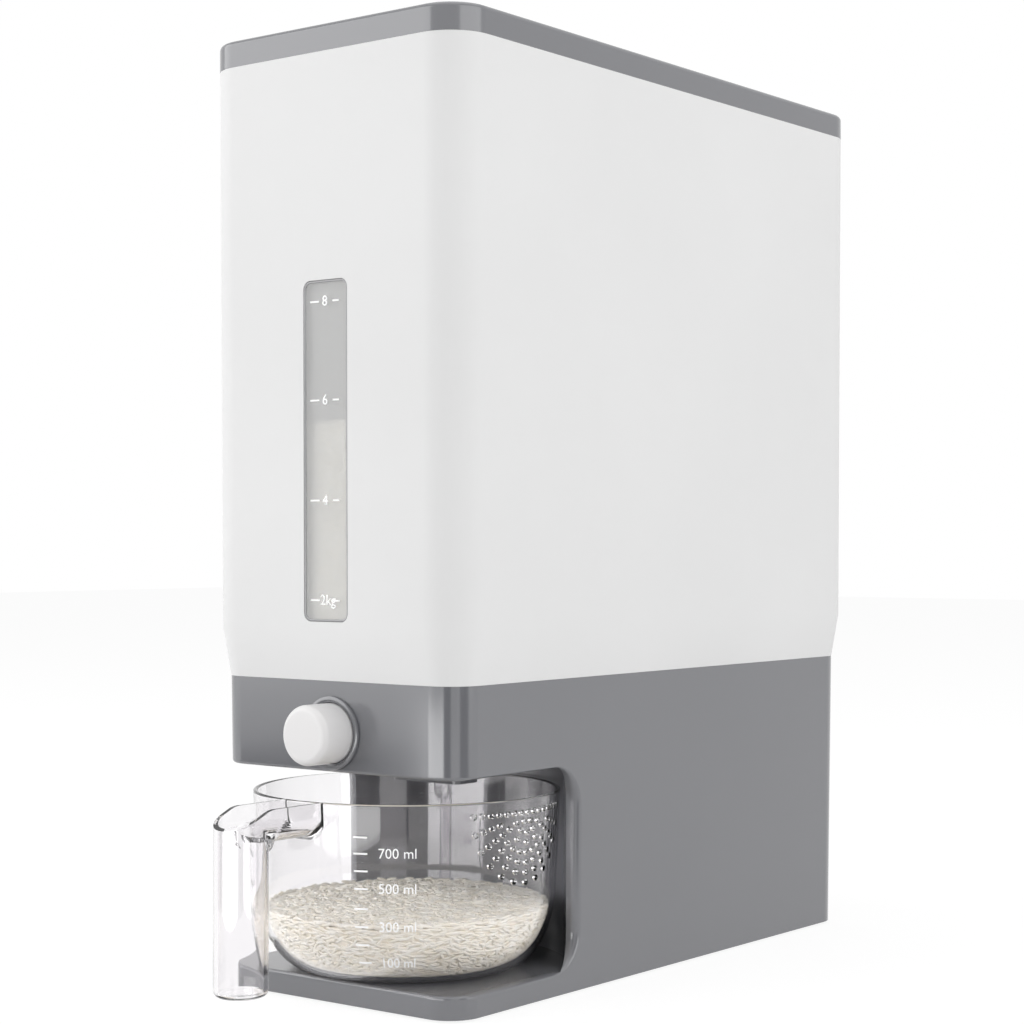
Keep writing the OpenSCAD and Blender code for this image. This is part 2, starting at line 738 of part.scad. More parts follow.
// Rod from the button's socket, through its guide, to the gate's lug
module push_rod() color(inner_grey) in_place() difference() {
    union() {
        bar(rod_r, y_rod, y_rod_end, 0, z_axis);
        // Shoulder that pushes on the lug
        bar(rod_r + shoulder_out, y_lug - shoulder_t - seat, y_lug - seat, 0, z_axis);
    }
    // Groove for the clip
    difference() {
        bar(rod_r + past, y_lug + lug_t + seat, y_lug + lug_t + seat + clip_t + 2 * seat, 0, z_axis);
        bar(rod_r - rod_groove, y_rod, y_rod_end, 0, z_axis);
    }
}

module rod_clip() color(steel) in_place() difference() {
    clip_r = rod_r - rod_groove;
    bar(rod_r + clip_out, y_lug + lug_t + 2 * seat, y_lug + lug_t + 2 * seat + clip_t, 0, z_axis);
    bar(clip_r + seat, y_lug, y_rod_end, 0, z_axis);
    block([run - clip_r, y_lug, z_axis - rod_r - clip_out - past], [clip_r - run, y_rod_end, z_axis]);
}

// Bracket with the rod's bearing, screwed to the deck
module rod_guide() color(inner_grey) in_place() difference() {
    union() {
        block([-guide_screw_x - boss_r - past, y_guide - guide_t / 2, z_deck + guide_pad],
              [guide_screw_x + boss_r + past, y_guide + guide_foot_l, z_deck + guide_pad + guide_foot_t]);
        hull() {
            bar(2 * rod_r, y_guide - guide_t / 2, y_guide + guide_t / 2, 0, z_axis);
            block([-guide_neck_w / 2, y_guide - guide_t / 2, z_deck + guide_pad],
                  [guide_neck_w / 2, y_guide + guide_t / 2, z_deck + guide_pad + guide_foot_t]);
        }
    }
    bar(rod_r + run, y_guide - guide_t, y_guide + guide_t, 0, z_axis);
    for (x = [-1, 1]) translate([x * guide_screw_x, y_guide_screw, z_deck + guide_pad - past])
        cylinder(r = screw_hole_r, h = guide_foot_t + 2 * past, $fn = 24);
}

module gate_channel() color(inner_grey) in_place() {
    half = gate_w / 2 + run;
    difference() {
        union() {
            block([-half - channel_wall, y_channel, z_channel],
                  [half + channel_wall, y_channel_end, z_cover - seat]);
            // Trough under the floor for the spring
            block([-trough_w - channel_wall, y_gate_end, z_spring - trough_w - channel_wall],
                  [trough_w + channel_wall, y_channel_end, z_channel + channel_t]);
            // Ears on the posts
            for (p = gate_posts) hull() {
                translate([p[0], p[1], z_channel]) cylinder(r = boss_r, h = channel_t, $fn = 32);
                translate([sign(p[0]) * half, p[1] - boss_r, z_channel])
                    cube([channel_wall / 4, 2 * boss_r, channel_t]);
            }
        }
        // Way of the gate
        block([-half, y_channel - past, z_gate - fit], [half, y_spring_end, z_cover + past]);
        // Way of the spring and the gate's tab
        block([-trough_w, y_gate_end - past, z_spring - trough_w], [trough_w, y_spring_end, z_cover + past]);
        translate([0, y_outlet, z_channel - past]) linear_extrude(channel_t + 2 * past)
            plan(outlet_w + 2 * fit, outlet_l + 2 * fit, outlet_corner);
        for (p = gate_posts) translate([p[0], p[1], z_channel - past])
            cylinder(r = screw_hole_r, h = channel_t + 2 * past, $fn = 24);
    }
}

// Cover with the socket that the hopper's throat plugs into
module gate_cover() color(inner_grey) in_place() difference() {
    throat_w = outlet_w + 2 * (throat_wall + fit);
    throat_l = outlet_l + 2 * (throat_wall + fit);
    union() {
        block([-gate_w / 2 - channel_wall, y_channel, z_cover],
              [gate_w / 2 + channel_wall, y_channel_end, z_cover + cover_t]);
        translate([0, y_outlet, z_cover]) linear_extrude(cover_t + socket_h)
            plan(throat_w + 2 * socket_wall, throat_l + 2 * socket_wall, throat_wall + socket_wall);
    }
    translate([0, y_outlet, z_cover - past]) linear_extrude(cover_t + socket_h + 2 * past)
        plan(outlet_w + 2 * fit, outlet_l + 2 * fit, outlet_corner);
    translate([0, y_outlet, z_cover + cover_t - cover_step])
        linear_extrude(cover_step + socket_h + past) plan(throat_w, throat_l, throat_wall + fit);
    block([-trough_w, y_outlet + throat_l / 2 + socket_wall + fit, z_cover - past],
          [trough_w, y_spring_end, z_cover + cover_t + past]);
}

module throat_seal() color(dark) in_place()
    translate([0, y_outlet, z_cover + cover_t - cover_step + seat])
        linear_extrude(seal_thick - seat) difference() {
            plan(outlet_w + 2 * throat_wall, outlet_l + 2 * throat_wall, throat_wall);
            plan(outlet_w + 2 * fit, outlet_l + 2 * fit, outlet_corner);
        }

// Sliding gate: its port stands in front of the outlet until the button is pressed
module gate_plate() color(white) in_place() difference() {
    union() {
        block([-gate_w / 2, y_gate, z_gate], [gate_w / 2, y_gate_end, z_gate + gate_t]);
        block([-tongue_w / 2, y_lug, z_gate], [tongue_w / 2, y_gate + past, z_gate + gate_t]);
        // Lug for the rod
        block([-lug_w / 2, y_lug, z_axis - rod_r - lug_below], [lug_w / 2, y_lug + lug_t, z_gate + gate_t]);
        // Tab for the spring
        tab = trough_w - fit;
        block([-tab, y_gate_end - seat, z_spring - tab], [tab, y_gate_end + tab_t, z_cover - seat]);
    }
    translate([0, y_outlet - button_travel, z_gate - past])
        linear_extrude(gate_t + 2 * past) plan(outlet_w, outlet_l, outlet_corner);
    bar(rod_r + seat, y_lug - past, y_lug + lug_t + past, 0, z_axis);
}

// Coil from the gate's tab to the end of the channel
module return_spring() color(steel) in_place() {
    y0 = y_gate_end + tab_t + spring_wire / 2 + 2 * seat;
    y1 = y_spring_end - spring_wire / 2 - 2 * seat;
    sides = 6;
    rings = spring_turns * 14;
    pitch_angle = atan((y1 - y0) / (spring_turns * 2 * PI * spring_r));
    points = [for (i = [0:rings], j = [0:sides - 1])
        let (turn = 360 * spring_turns * i / rings, a = 360 * j / sides,
             out = spring_wire / 2 * cos(a), up = spring_wire / 2 * sin(a))
        [(spring_r + out) * cos(turn) + up * sin(pitch_angle) * sin(turn),
         y0 + (y1 - y0) * i / rings + up * cos(pitch_angle),
         z_spring + (spring_r + out) * sin(turn) - up * sin(pitch_angle) * cos(turn)]];
    sides_faces = [for (i = [0:rings - 1], j = [0:sides - 1])
        let (k = (j + 1) % sides)
        [i * sides + j, (i + 1) * sides + j, (i + 1) * sides + k, i * sides + k]];
    ends = [[for (j = [0:sides - 1]) j], [for (j = [sides - 1:-1:0]) rings * sides + j]];
    polyhedron(points, concat(sides_faces, ends), convexity = 12);
}

// Spout from the gate, through the deck, to just above the cup
module outlet_nozzle() color(grey) in_place() translate([0, y_outlet, 0]) difference() {
    union() {
        translate([0, 0, z_rim + nozzle_clear]) linear_extrude(z_channel - seat - z_rim - nozzle_clear)
            plan(nozzle_w, nozzle_l, nozzle_corner);
        translate([0, 0, z_deck + seat]) linear_extrude(nozzle_flange)
            plan(nozzle_w + 2 * nozzle_lip, nozzle_l + 2 * nozzle_lip, nozzle_corner + nozzle_lip);
    }
    translate([0, 0, z_rim]) linear_extrude(z_channel - z_rim + past)
        plan(outlet_w, outlet_l, nozzle_corner - nozzle_wall);
}

module mechanism_screws() color(steel) in_place() {
    for (p = gate_posts) screw(p[0], p[1], z_channel + channel_t + seat, gate_screw_l);
    for (x = [-1, 1])
        screw(x * guide_screw_x, y_guide_screw, z_deck + guide_pad + guide_foot_t + seat, guide_screw_l);
}

// ---------- measuring cup ----------

// Outside radius of the bowl's straight side at the height z above the cup's foot
function side_r(z) = cup_r - (cup_h - z) * tan(cup_draft);
// Rounded foot of the bowl, from the side to the flat bottom
function foot_arc(inset) = [for (i = [0:bowl_arc])
    let (a = 90 * i / bowl_arc, w = cup_round_w - inset / 2, h = cup_round_h - inset)
    [side_r(cup_round_h) - inset - w + w * pow(cos(a), 2 / bowl_power),
     cup_round_h - h * pow(sin(a), 2 / bowl_power)]];

module bowl_solid(inset, top)
    translate([0, 0, z_cup]) rotate_extrude($fn = 96) polygon(concat(
        [[0, cup_h + top]], [[side_r(cup_h + top) - inset, cup_h + top]], foot_arc(inset), [[0, inset]]));

// Half-disc of holes in the side of the bowl: a straight row with rings under it
module strainer_holes() {
    for (ring = [0:strain_rings]) {
        step = ring == 0 ? 360 : ring == 1 ? 60 : ring < 4 ? 30 : 15;
        for (a = [0:step:180]) {
            turn = ring * strain_pitch * cos(a) / cup_r * 180 / PI;
            z = z_rim - strain_drop - ring * strain_pitch * sin(a);
            rotate([0, 0, turn]) translate([cup_r + strain_past - strain_cut, 0, z])
                rotate([0, 90, 0]) cylinder(d = strain_d, h = strain_cut, $fn = 16);
        }
    }
}

// Ring of the trough's outside at the place y, whose lower face lies low under the rim
function neck_ring(y, low) = concat(
    [[-grip_r, y, z_rim]],
    [for (a = [180:15:270]) neck_point(-1, y, low, a)],
    [for (a = [270:15:360]) neck_point(1, y, low, a)],
    [[grip_r, y, z_rim]]);
function neck_point(side, y, low, a) =
    [side * (grip_r - neck_r) + neck_r * cos(a), y, z_rim - low + neck_r * (1 + sin(a))];

// Outside of the trough from the bowl to the grip, with a hollow curve under both ends
module neck() {
    f = neck_fillet;
    y_grip = -grip_reach + grip_r * 0.7;
    y_bowl = -side_r(cup_h - neck_h - f) + cup_wall / 2;
    function low(a) = neck_h + f * (1 - sin(a));
    skin(concat(
        [neck_ring(y_bowl + 3 * cup_wall, neck_h + f)],
        [for (a = [0:15:90]) neck_ring(y_bowl - f * (1 - cos(a)), low(a))],
        [for (a = [90:15:180]) neck_ring(y_grip + f * (1 + cos(a)), low(a))],
        [neck_ring(-grip_reach, neck_h + f)]));
}

// The trough's hollow: a slot with a rounded floor, along Y and open upwards
module neck_hollow() {
    half = grip_r - cup_wall;
    r = neck_r - cup_wall;
    low = cup_wall - neck_h;
    translate([0, -cup_r / 2, z_rim]) rotate([90, 0, 0]) linear_extrude(grip_reach - cup_r / 2) {
        translate([r - half, low]) square([2 * (half - r), past - low]);
        translate([-half, low + r]) square([2 * half, past - low - r]);
        for (x = [-1, 1]) translate([x * (half - r), low + r]) circle(r, $fn = 64);
    }
}

// What the sloping top of the grip takes away, with a curve where the slope starts
module slope_space() {
    y_bend = slope_start - grip_reach + slope_r * tan(grip_slope / 2);
    curve = [for (i = [0:6]) let (a = grip_slope * i / 6)
        [y_bend - slope_r * sin(a), z_rim - slope_r * (1 - cos(a))]];
    run_out = 4 * grip_r;
    end = curve[6] - run_out * [cos(grip_slope), sin(grip_slope)];
    rotate([90, 0, 90]) translate([0, 0, -2 * grip_r]) linear_extrude(4 * grip_r)
        polygon(concat([[y_bend, z_rim + run_out]], curve, [end, [end[0], z_rim + run_out]]));
}

module handle() difference() {
    union() {
        neck();
        translate([0, -grip_reach, z_rim - grip_h]) rotate_extrude($fn = 64) polygon(concat(
            [[0, 0]],
            [for (a = [270:15:360]) [grip_r - grip_foot_r * (1 - cos(a)), grip_foot_r * (1 + sin(a))]],
            [[grip_r, grip_h], [0, grip_h]]));
    }
    translate([0, -grip_reach, z_rim - grip_h + cup_wall])
        cylinder(r = grip_r - cup_wall, h = grip_h, $fn = 64);
    neck_hollow();
    slope_space();
    bowl_solid(cup_wall / 2, past);
}

module measuring_cup() color(clear) in_place() translate([0, y_cup, 0]) difference() {
    union() {
        handle();
        bowl_solid(0, 0);
    }
    bowl_solid(cup_wall, past);
    strainer_holes();
}

// ---------- drawing ----------

module show(name) children();

show("base_shell") base_shell();
show("base_plate") base_plate();
show("foot_front_left") foot(-1, -1);
show("foot_front_right") foot(1, -1);
show("foot_rear_left") foot(-1, 1);
show("foot_rear_right") foot(1, 1);
show("base_screws") base_screws();
show("hopper_shell") hopper_shell();
show("hopper_floor") hopper_floor();
show("window_pane") window_pane();
show("hopper_screws") hopper_screws();
show("lid") lid();
show("lid_seal") lid_seal();
show("button_bezel") button_bezel();
show("button_cap") button_cap();
show("push_rod") push_rod();
show("rod_clip") rod_clip();
show("rod_guide") rod_guide();
show("gate_channel") gate_channel();
show("gate_cover") gate_cover();
show("gate_plate") gate_plate();
show("throat_seal") throat_seal();
show("return_spring") return_spring();
show("outlet_nozzle") outlet_nozzle();
show("mechanism_screws") mechanism_screws();
show("measuring_cup") measuring_cup();
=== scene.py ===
"""Looks of the rice dispenser: a tall lidded hopper on a base with an open bay,
a push button, a level window and a clear measuring cup with rice in it.

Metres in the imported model's frame: the front faces -Y, +Z is up and the origin
lies on the worktop under the middle of the whole object. The named sizes are in
millimetres and turn into metres through MM.
"""
import math
import random

import bmesh
import bpy
from mathutils import Matrix, Quaternion, Vector


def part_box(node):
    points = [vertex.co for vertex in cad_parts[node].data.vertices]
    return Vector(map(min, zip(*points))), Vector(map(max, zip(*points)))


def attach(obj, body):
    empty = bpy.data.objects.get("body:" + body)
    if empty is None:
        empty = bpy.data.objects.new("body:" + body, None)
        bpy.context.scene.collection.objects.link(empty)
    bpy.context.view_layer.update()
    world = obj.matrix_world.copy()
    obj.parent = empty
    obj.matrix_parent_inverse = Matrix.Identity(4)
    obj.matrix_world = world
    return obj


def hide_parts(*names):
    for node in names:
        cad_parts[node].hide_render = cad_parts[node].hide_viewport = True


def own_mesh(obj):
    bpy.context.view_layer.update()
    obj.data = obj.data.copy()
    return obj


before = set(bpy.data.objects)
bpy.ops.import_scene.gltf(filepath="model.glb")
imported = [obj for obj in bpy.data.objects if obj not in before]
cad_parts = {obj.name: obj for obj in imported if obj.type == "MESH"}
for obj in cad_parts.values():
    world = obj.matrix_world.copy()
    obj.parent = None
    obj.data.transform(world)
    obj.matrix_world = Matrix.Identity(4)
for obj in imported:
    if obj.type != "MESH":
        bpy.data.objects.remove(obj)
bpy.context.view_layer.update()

MM = 0.001

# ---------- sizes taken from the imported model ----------

base_low, base_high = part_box("base_shell")
hopper_low, hopper_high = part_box("hopper_shell")
lid_low, lid_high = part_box("lid")
cap_low, cap_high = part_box("button_cap")
ring_low, ring_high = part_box("button_bezel")
cup_low, cup_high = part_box("measuring_cup")
pane_low, pane_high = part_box("window_pane")
nozzle_low, nozzle_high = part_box("outlet_nozzle")

MID_Y = (hopper_low.y + hopper_high.y) / 2
Z_BASE = base_low.z
Z_WAIST = base_high.z
Z_SEAM = hopper_high.z
Z_TOP = lid_high.z
Z_RIM = cup_high.z
CUP_R = cup_high.x
CUP_Y = cup_high.y - CUP_R
BUTTON_Z = (cap_low.z + cap_high.z) / 2
BUTTON_R = ring_high.x - 3.1 * MM
BAY_R = CUP_R + 2.9 * MM
Z_TRAY = cup_low.z - 0.2 * MM
Z_CEILING = Z_TRAY + 90.9 * MM
WINDOW_Z = (pane_low.z + pane_high.z) / 2

# ---------- sizes of the mouldings, in millimetres ----------

WALL = 2.4
CORNER = 19
WAIST_RISE = 22.2
WAIST_IN = 3.8
HOPPER_DRAFT = math.radians(0.3)
BASE_DRAFT = math.radians(0.6)
FLANGE = 14
LID_EDGE = 2.5
LID_WALL = 2.6
PLUG_GAP = 2.2
PLUG_WALL = 2
PLUG_LEDGE = 1.2
WINDOW = (26, 150)
WINDOW_CORNER = 4
PANE_FIT = 0.3
PANE_SET = 0.6
PANE_ROOM = 4.35
BUTTON_GAP = 1.5
OUTLET = (20.1, 8.6)
OUTLET_CORNER = 3
OPENING_BACK = 35.5
OPENING_CORNER = 16.5
OPENING_EDGE = 4
TRAY_SHARE = 0.4
CEILING_SHARE = 0.35
CUP_WALL = 2
CUP_DRAFT = math.radians(3)
CUP_FOOT = (20.6, 34.6)
CUP_FULLNESS = 1.9
GRIP_R = 11.6
GRIP_GAP = 36.6
NECK = 14.7
NECK_R = 8.5
NECK_FILLET = 5
GRIP_SLOPE = math.radians(24)
SLOPE_R = 14
SLOPE_START = 6.2
STRAINER_R = 1.4
STRAINER_PITCH = 4.4
STRAINER_RINGS = 7
STRAINER_TOP = 6.2
PRINT_LAYER = 0.1
PRINT_PROUD = 0.06
GRIP_Y = CUP_Y - CUP_R - GRIP_GAP * MM
Y_WINDOW = hopper_low.y + (Z_SEAM - WINDOW_Z) * math.tan(HOPPER_DRAFT)
Z_RICE = 38.7 * MM
Z_STORE = 257 * MM
ROW_SHARE = 0.87
GRAIN = (2.7, 0.8, 0.7)
GRAIN_BEND = 18

ATTEMPTS = 5


# ---------- finishes ----------

def new_finish(name):
    """Fresh material, with its tree and its main shader."""
    material = bpy.data.materials.new(name)
    material.use_nodes = True
    tree = material.node_tree
    return material, tree, tree.nodes["Principled BSDF"]


def give(node, **values):
    """Set inputs of a node; an underscore stands for the space in an input's name."""
    for name, value in values.items():
        node.inputs[name.replace("_", " ")].default_value = value


def add_node(tree, kind, **values):
    """New shader node of this kind, with its inputs set."""
    node = tree.nodes.new("ShaderNode" + kind)
    give(node, **values)
    return node


def show_mix(tree, share, first, second, output="Material Output"):
    """Show the second shader for the given share and the first for the rest."""
    mix = add_node(tree, "MixShader")
    tree.links.new(share, mix.inputs["Fac"])
    tree.links.new(first, mix.inputs[1])
    tree.links.new(second, mix.inputs[2])
    tree.links.new(mix.outputs["Shader"], tree.nodes[output].inputs["Surface"])


def grain(tree, scale, detail=2.0, rough=0.5):
    """Noise in the object's own coordinates, at so many grains a metre."""
    place = add_node(tree, "TexCoord")
    texture = add_node(tree, "TexNoise", Scale=scale, Detail=detail, Roughness=rough)
    tree.links.new(place.outputs["Object"], texture.inputs["Vector"])
    return texture


def spread(tree, source, low, high):
    """Map a noise's middle range to a range of values."""
    span = add_node(tree, "MapRange", From_Min=0.3, From_Max=0.7, To_Min=low, To_Max=high)
    tree.links.new(source.outputs["Fac"], span.inputs["Value"])
    return span.outputs["Result"]


def tint(tree, source, dark, light):
    """Colour that runs from dark to light with a noise."""
    ramp = add_node(tree, "ValToRGB")
    ramp.color_ramp.elements[0].position = 0.3
    ramp.color_ramp.elements[0].color = (*dark, 1)
    ramp.color_ramp.elements[1].position = 0.7
    ramp.color_ramp.elements[1].color = (*light, 1)
    tree.links.new(source.outputs["Fac"], ramp.inputs["Fac"])
    return ramp.outputs["Color"]


def dent(tree, shader, source, strength, depth):
    """Let a noise dent the surface, by a depth in millimetres."""
    bump = add_node(tree, "Bump", Strength=strength, Distance=depth * MM)
    tree.links.new(source.outputs["Fac"], bump.inputs["Height"])
    tree.links.new(bump.outputs["Normal"], shader.inputs["Normal"])


def moulded(name, colour, roughness, texture=0.02, gloss=0.5):
    """Injection-moulded plastic: a trace of flow in the colour and a fine skin."""
    material, tree, shader = new_finish(name)
    flow = grain(tree, 9, detail=3)
    skin = grain(tree, 1800)
    shade = [0.985 * c for c in colour]
    light = [min(1, 1.015 * c) for c in colour]
    tree.links.new(tint(tree, flow, shade, light), shader.inputs["Base Color"])
    tree.links.new(spread(tree, skin, roughness - 0.015, roughness + 0.015), shader.inputs["Roughness"])
    give(shader, Specular_IOR_Level=gloss)
    dent(tree, shader, skin, texture, 0.03)
    return material


def clear_moulded(name, colour, roughness=0.03, clarity=1.0):
    """Clear or milky polished plastic that lets the lamps through to what is behind it."""
    material, tree, shader = new_finish(name)
    give(shader, Base_Color=(*colour, 1), IOR=1.49, Transmission_Weight=clarity)
    ripple = grain(tree, 60)
    tree.links.new(spread(tree, ripple, roughness - 0.01, roughness + 0.01), shader.inputs["Roughness"])
    dent(tree, shader, ripple, 0.02, 0.2)
    path = add_node(tree, "LightPath")
    through = add_node(tree, "BsdfTransparent", Color=(*[0.5 + 0.5 * c for c in colour], 1))
    show_mix(tree, path.outputs["Is Shadow Ray"], shader.outputs["BSDF"], through.outputs["BSDF"])
    return material


def rice_finish(name, dark, light):
    """Polished rice: cream grains, each a little different, faintly see-through."""
    material, tree, shader = new_finish(name)
    each = grain(tree, 260, detail=0)
    tree.links.new(tint(tree, each, dark, light), shader.inputs["Base Color"])
    give(shader, Roughness=0.42, Subsurface_Weight=0.1, Subsurface_Radius=(1, 0.8, 0.6),
         Subsurface_Scale=1.0 * MM)
    dent(tree, shader, grain(tree, 2500), 0.1, 0.05)
    return material


def rubber_finish(name, colour):
    """Matt rubber or silicone with a little dust in its colour."""
    material, tree, shader = new_finish(name)
    dust = grain(tree, 400, detail=3)
    dark, light = [0.9 * c for c in colour], [1.1 * c for c in colour]
    tree.links.new(tint(tree, dust, dark, light), shader.inputs["Base Color"])
    give(shader, Roughness=0.75)
    dent(tree, shader, grain(tree, 1200), 0.2, 0.08)
    return material


def zinc_finish(name):
    """Zinc plating, a little uneven."""
    material, tree, shader = new_finish(name)
    give(shader, Metallic=1)
    plating = grain(tree, 700, detail=4)
    colour = tint(tree, plating, (0.55, 0.56, 0.58), (0.72, 0.73, 0.75))
    tree.links.new(colour, shader.inputs["Base Color"])
    tree.links.new(spread(tree, plating, 0.22, 0.38), shader.inputs["Roughness"])
    return material


def print_finish(name, level, painted_glow=0.0):
    """Printing ink on the clear parts; the last argument is emission, a painted glow that lifts the ink
    above the shade it lies in.
    """
    material, tree, shader = new_finish(name)
    ink = grain(tree, 900, detail=3)
    tone = tint(tree, ink, (level - 0.02,) * 3, (level + 0.02,) * 3)
    tree.links.new(tone, shader.inputs["Base Color"])
    give(shader, Emission_Color=(1, 1, 1, 1), Emission_Strength=painted_glow, Roughness=0.5)
    return material


GREY = moulded("Grey satin plastic", (0.168, 0.171, 0.185), 0.16, gloss=1.0)
WHITE = moulded("White satin plastic", (0.82, 0.82, 0.82), 0.5, texture=0.01, gloss=0.2)
CAP_WHITE = moulded("White button plastic", (0.82, 0.81, 0.81), 0.34)
INNER = moulded("Inner matt plastic", (0.40, 0.41, 0.43), 0.5, texture=0.1)
GATE = moulded("Slippery white plastic", (0.70, 0.70, 0.69), 0.42)
CLEAR = clear_moulded("Clear cup plastic", (0.965, 0.955, 0.965))
PANE = clear_moulded("Milky window plastic", (0.76, 0.76, 0.755), roughness=0.06, clarity=0.62)
# The window edge's grey is painted shade, standing in for the dark lines that a clear edge shows.
PANE_EDGE_SHADE = moulded("Polished window edge in painted grey", (0.33, 0.33, 0.34), 0.08, gloss=0.8)
RUBBER = rubber_finish("Black foot rubber", (0.035, 0.035, 0.037))
SILICONE = rubber_finish("White seal silicone", (0.62, 0.62, 0.61))
ZINC = zinc_finish("Zinc plated steel")
# The white print glows a little: painted light that lifts it above the shade round it.
PRINT = print_finish("White print", 0.97, painted_glow=0.16)
GREY_PRINT = print_finish("Grey print", 0.42)
RICE = rice_finish("Rice grains", (0.94, 0.88, 0.75), (0.98, 0.95, 0.86))
RICE_BED = rice_finish("Rice between the grains", (0.96, 0.90, 0.77), (0.98, 0.93, 0.83))


# ---------- shaping ----------

def quarter(steps):
    """Angles of a quarter turn, from 0 to 90 degrees."""
    return [math.radians(90 * k / steps) for k in range(steps + 1)]


def rounded_plan(bm, half_w, half_d, radius, z, centre_y=MID_Y, steps=14):
    """One face in the shape of a rounded rectangle, at the height z."""
    corners = bmesh.ops.create_grid(bm, x_segments=1, y_segments=1, size=1)["verts"]
    bmesh.ops.scale(bm, vec=(half_w, half_d, 1), verts=corners)
    bmesh.ops.translate(bm, vec=(0, centre_y, z), verts=corners)
    bmesh.ops.bevel(bm, geom=corners, offset=radius, offset_type="OFFSET", affect="VERTICES",
                    segments=steps, profile=0.5, material=-1)
    return next(iter(bm.faces))


def draw_on(bm, face, rise, widen=(0, 0), centre=(0, MID_Y)):
    """Carry a face on along Z, and widen it by so much on each side."""
    made = bmesh.ops.extrude_face_region(bm, geom=[face])["geom"]
    end = next(part for part in made if isinstance(part, bmesh.types.BMFace))
    xs = [v.co.x - centre[0] for v in end.verts]
    ys = [v.co.y - centre[1] for v in end.verts]
    grow = (1 + widen[0] / max(xs), 1 + widen[1] / max(ys), 1)
    to_centre = Matrix.Translation((-centre[0], -centre[1], 0))
    bmesh.ops.scale(bm, vec=grow, verts=end.verts, space=to_centre)
    bmesh.ops.translate(bm, vec=(0, 0, rise), verts=end.verts)
    return end


def verts_of(made):
    """The vertices among what an extrusion made."""
    return [part for part in made["geom"] if isinstance(part, bmesh.types.BMVert)]


def taper(bm, face, rise, inward):
    """Carry a face on along its normal while its outline moves inwards evenly."""
    bmesh.ops.inset_region(bm, faces=[face], thickness=inward, depth=rise,
                           use_even_offset=True, use_boundary=True)
    return face


def turned(bm, profile, axis, centre, steps=96):
    """Spin a profile of (radius, distance along the axis) points round the Y or Z axis."""
    across = Vector((1, 0, 0))
    along = Vector(axis)
    points = [bm.verts.new(Vector(centre) + across * r + along * d) for r, d in profile]
    edges = [bm.edges.new(pair) for pair in zip(points, points[1:])]
    bmesh.ops.spin(bm, geom=points + edges, axis=along, cent=Vector(centre), angle=2 * math.pi,
                   steps=steps, use_merge=True)
    bmesh.ops.remove_doubles(bm, verts=bm.verts, dist=1e-6)
    bmesh.ops.recalc_face_normals(bm, faces=bm.faces)


def soften(bm, offset, chosen, segments=3):
    """Round the edges that the test chooses."""
    edges = [edge for edge in bm.edges if chosen(edge)]
    bmesh.ops.bevel(bm, geom=edges, offset=offset, offset_type="OFFSET", affect="EDGES",
                    segments=segments, profile=0.5, clamp_overlap=True, material=-1)


def slab(bm, low, high):
    """Box between two corners."""
    low, high = Vector(low), Vector(high)
    place = Matrix.Translation((low + high) / 2) @ Matrix.Diagonal((*(high - low), 1))
    return bmesh.ops.create_cube(bm, size=1, matrix=place)["verts"]


def rod(bm, radius, length, place, segments=64):
    """Round rod, centred in its place and along its Z axis."""
    bmesh.ops.create_cone(bm, cap_ends=True, segments=segments, radius1=radius, radius2=radius,
                          depth=length, matrix=place)


def as_piece(name, bm, material):
    """Turn the shape into a piece of the scene."""
    mesh = bpy.data.meshes.new(name)
    bm.to_mesh(mesh)
    bm.free()
    piece = bpy.data.objects.new(name, mesh)
    bpy.context.scene.collection.objects.link(piece)
    mesh.materials.append(material)
    return piece


def as_solid(name, bm, material):
    """Turn a closed shape into a piece whose faces point outwards."""
    bmesh.ops.recalc_face_normals(bm, faces=bm.faces)
    return as_piece(name, bm, material)


def prism(name, half_w, half_d, radius, low, rise, widen=(0, 0), centre_y=MID_Y, steps=14):
    """Upright solid on a rounded plan, which may widen on its way up."""
    bm = bmesh.new()
    face = rounded_plan(bm, half_w, half_d, radius, low, centre_y=centre_y, steps=steps)
    draw_on(bm, face, rise, widen=widen, centre=(0, centre_y))
    return as_solid(name, bm, GREY)


def settle(piece):
    """Turn the piece's modifiers into its mesh."""
    shaped = bpy.data.meshes.new_from_object(piece.evaluated_get(bpy.context.evaluated_depsgraph_get()))
    piece.modifiers.clear()
    piece.data = shaped


def volume_of(mesh):
    """Volume that a mesh encloses."""
    bm = bmesh.new()
    bm.from_mesh(mesh)
    volume = bm.calc_volume()
    bm.free()
    return volume


def combine(piece, other, operation):
    """Combine the piece with another shape, which is used up; a result that fails is made anew."""
    own, tool = volume_of(piece.data), volume_of(other.data)
    least = 0.9 * (own - tool) if operation == "DIFFERENCE" else 0.9 * max(own, tool)
    before = piece.data
    for attempt in range(ATTEMPTS):
        step = piece.modifiers.new(operation.title(), "BOOLEAN")
        step.object = other
        step.operation = operation
        step.solver = "EXACT"
        settle(piece)
        if (piece.data.polygons and volume_of(piece.data) >= least) or attempt == ATTEMPTS - 1:
            break
        piece.data = before
    bpy.data.objects.remove(other)


def cut(piece, other):
    """Take the other shape out of the piece."""
    combine(piece, other, "DIFFERENCE")


def join(piece, other):
    """Make one solid of the piece and the other shape."""
    combine(piece, other, "UNION")


def even_wall(piece, thickness):
    """Give a sheet its wall, on the inside of its faces."""
    wall = piece.modifiers.new("Wall", "SOLIDIFY")
    wall.thickness = thickness * MM
    wall.offset = -1
    wall.use_even_offset = True
    settle(piece)


def smooth(piece, angle=35):
    """Smooth shading that keeps hard edges hard and flat faces flat."""
    piece.data.shade_smooth()
    piece.data.set_sharp_from_angle(angle=math.radians(angle))
    piece.modifiers.new("Even shading", "WEIGHTED_NORMAL").keep_sharp = True
    return piece


def eased(piece, width, angle=40, segments=2):
    """Small even rounding on every hard edge."""
    step = piece.modifiers.new("Eased edges", "BEVEL")
    step.width = width * MM
    step.segments = segments
    step.limit_method = "ANGLE"
    step.angle_limit = math.radians(angle)
    step.use_clamp_overlap = True
    settle(piece)


# ---------- hopper ----------

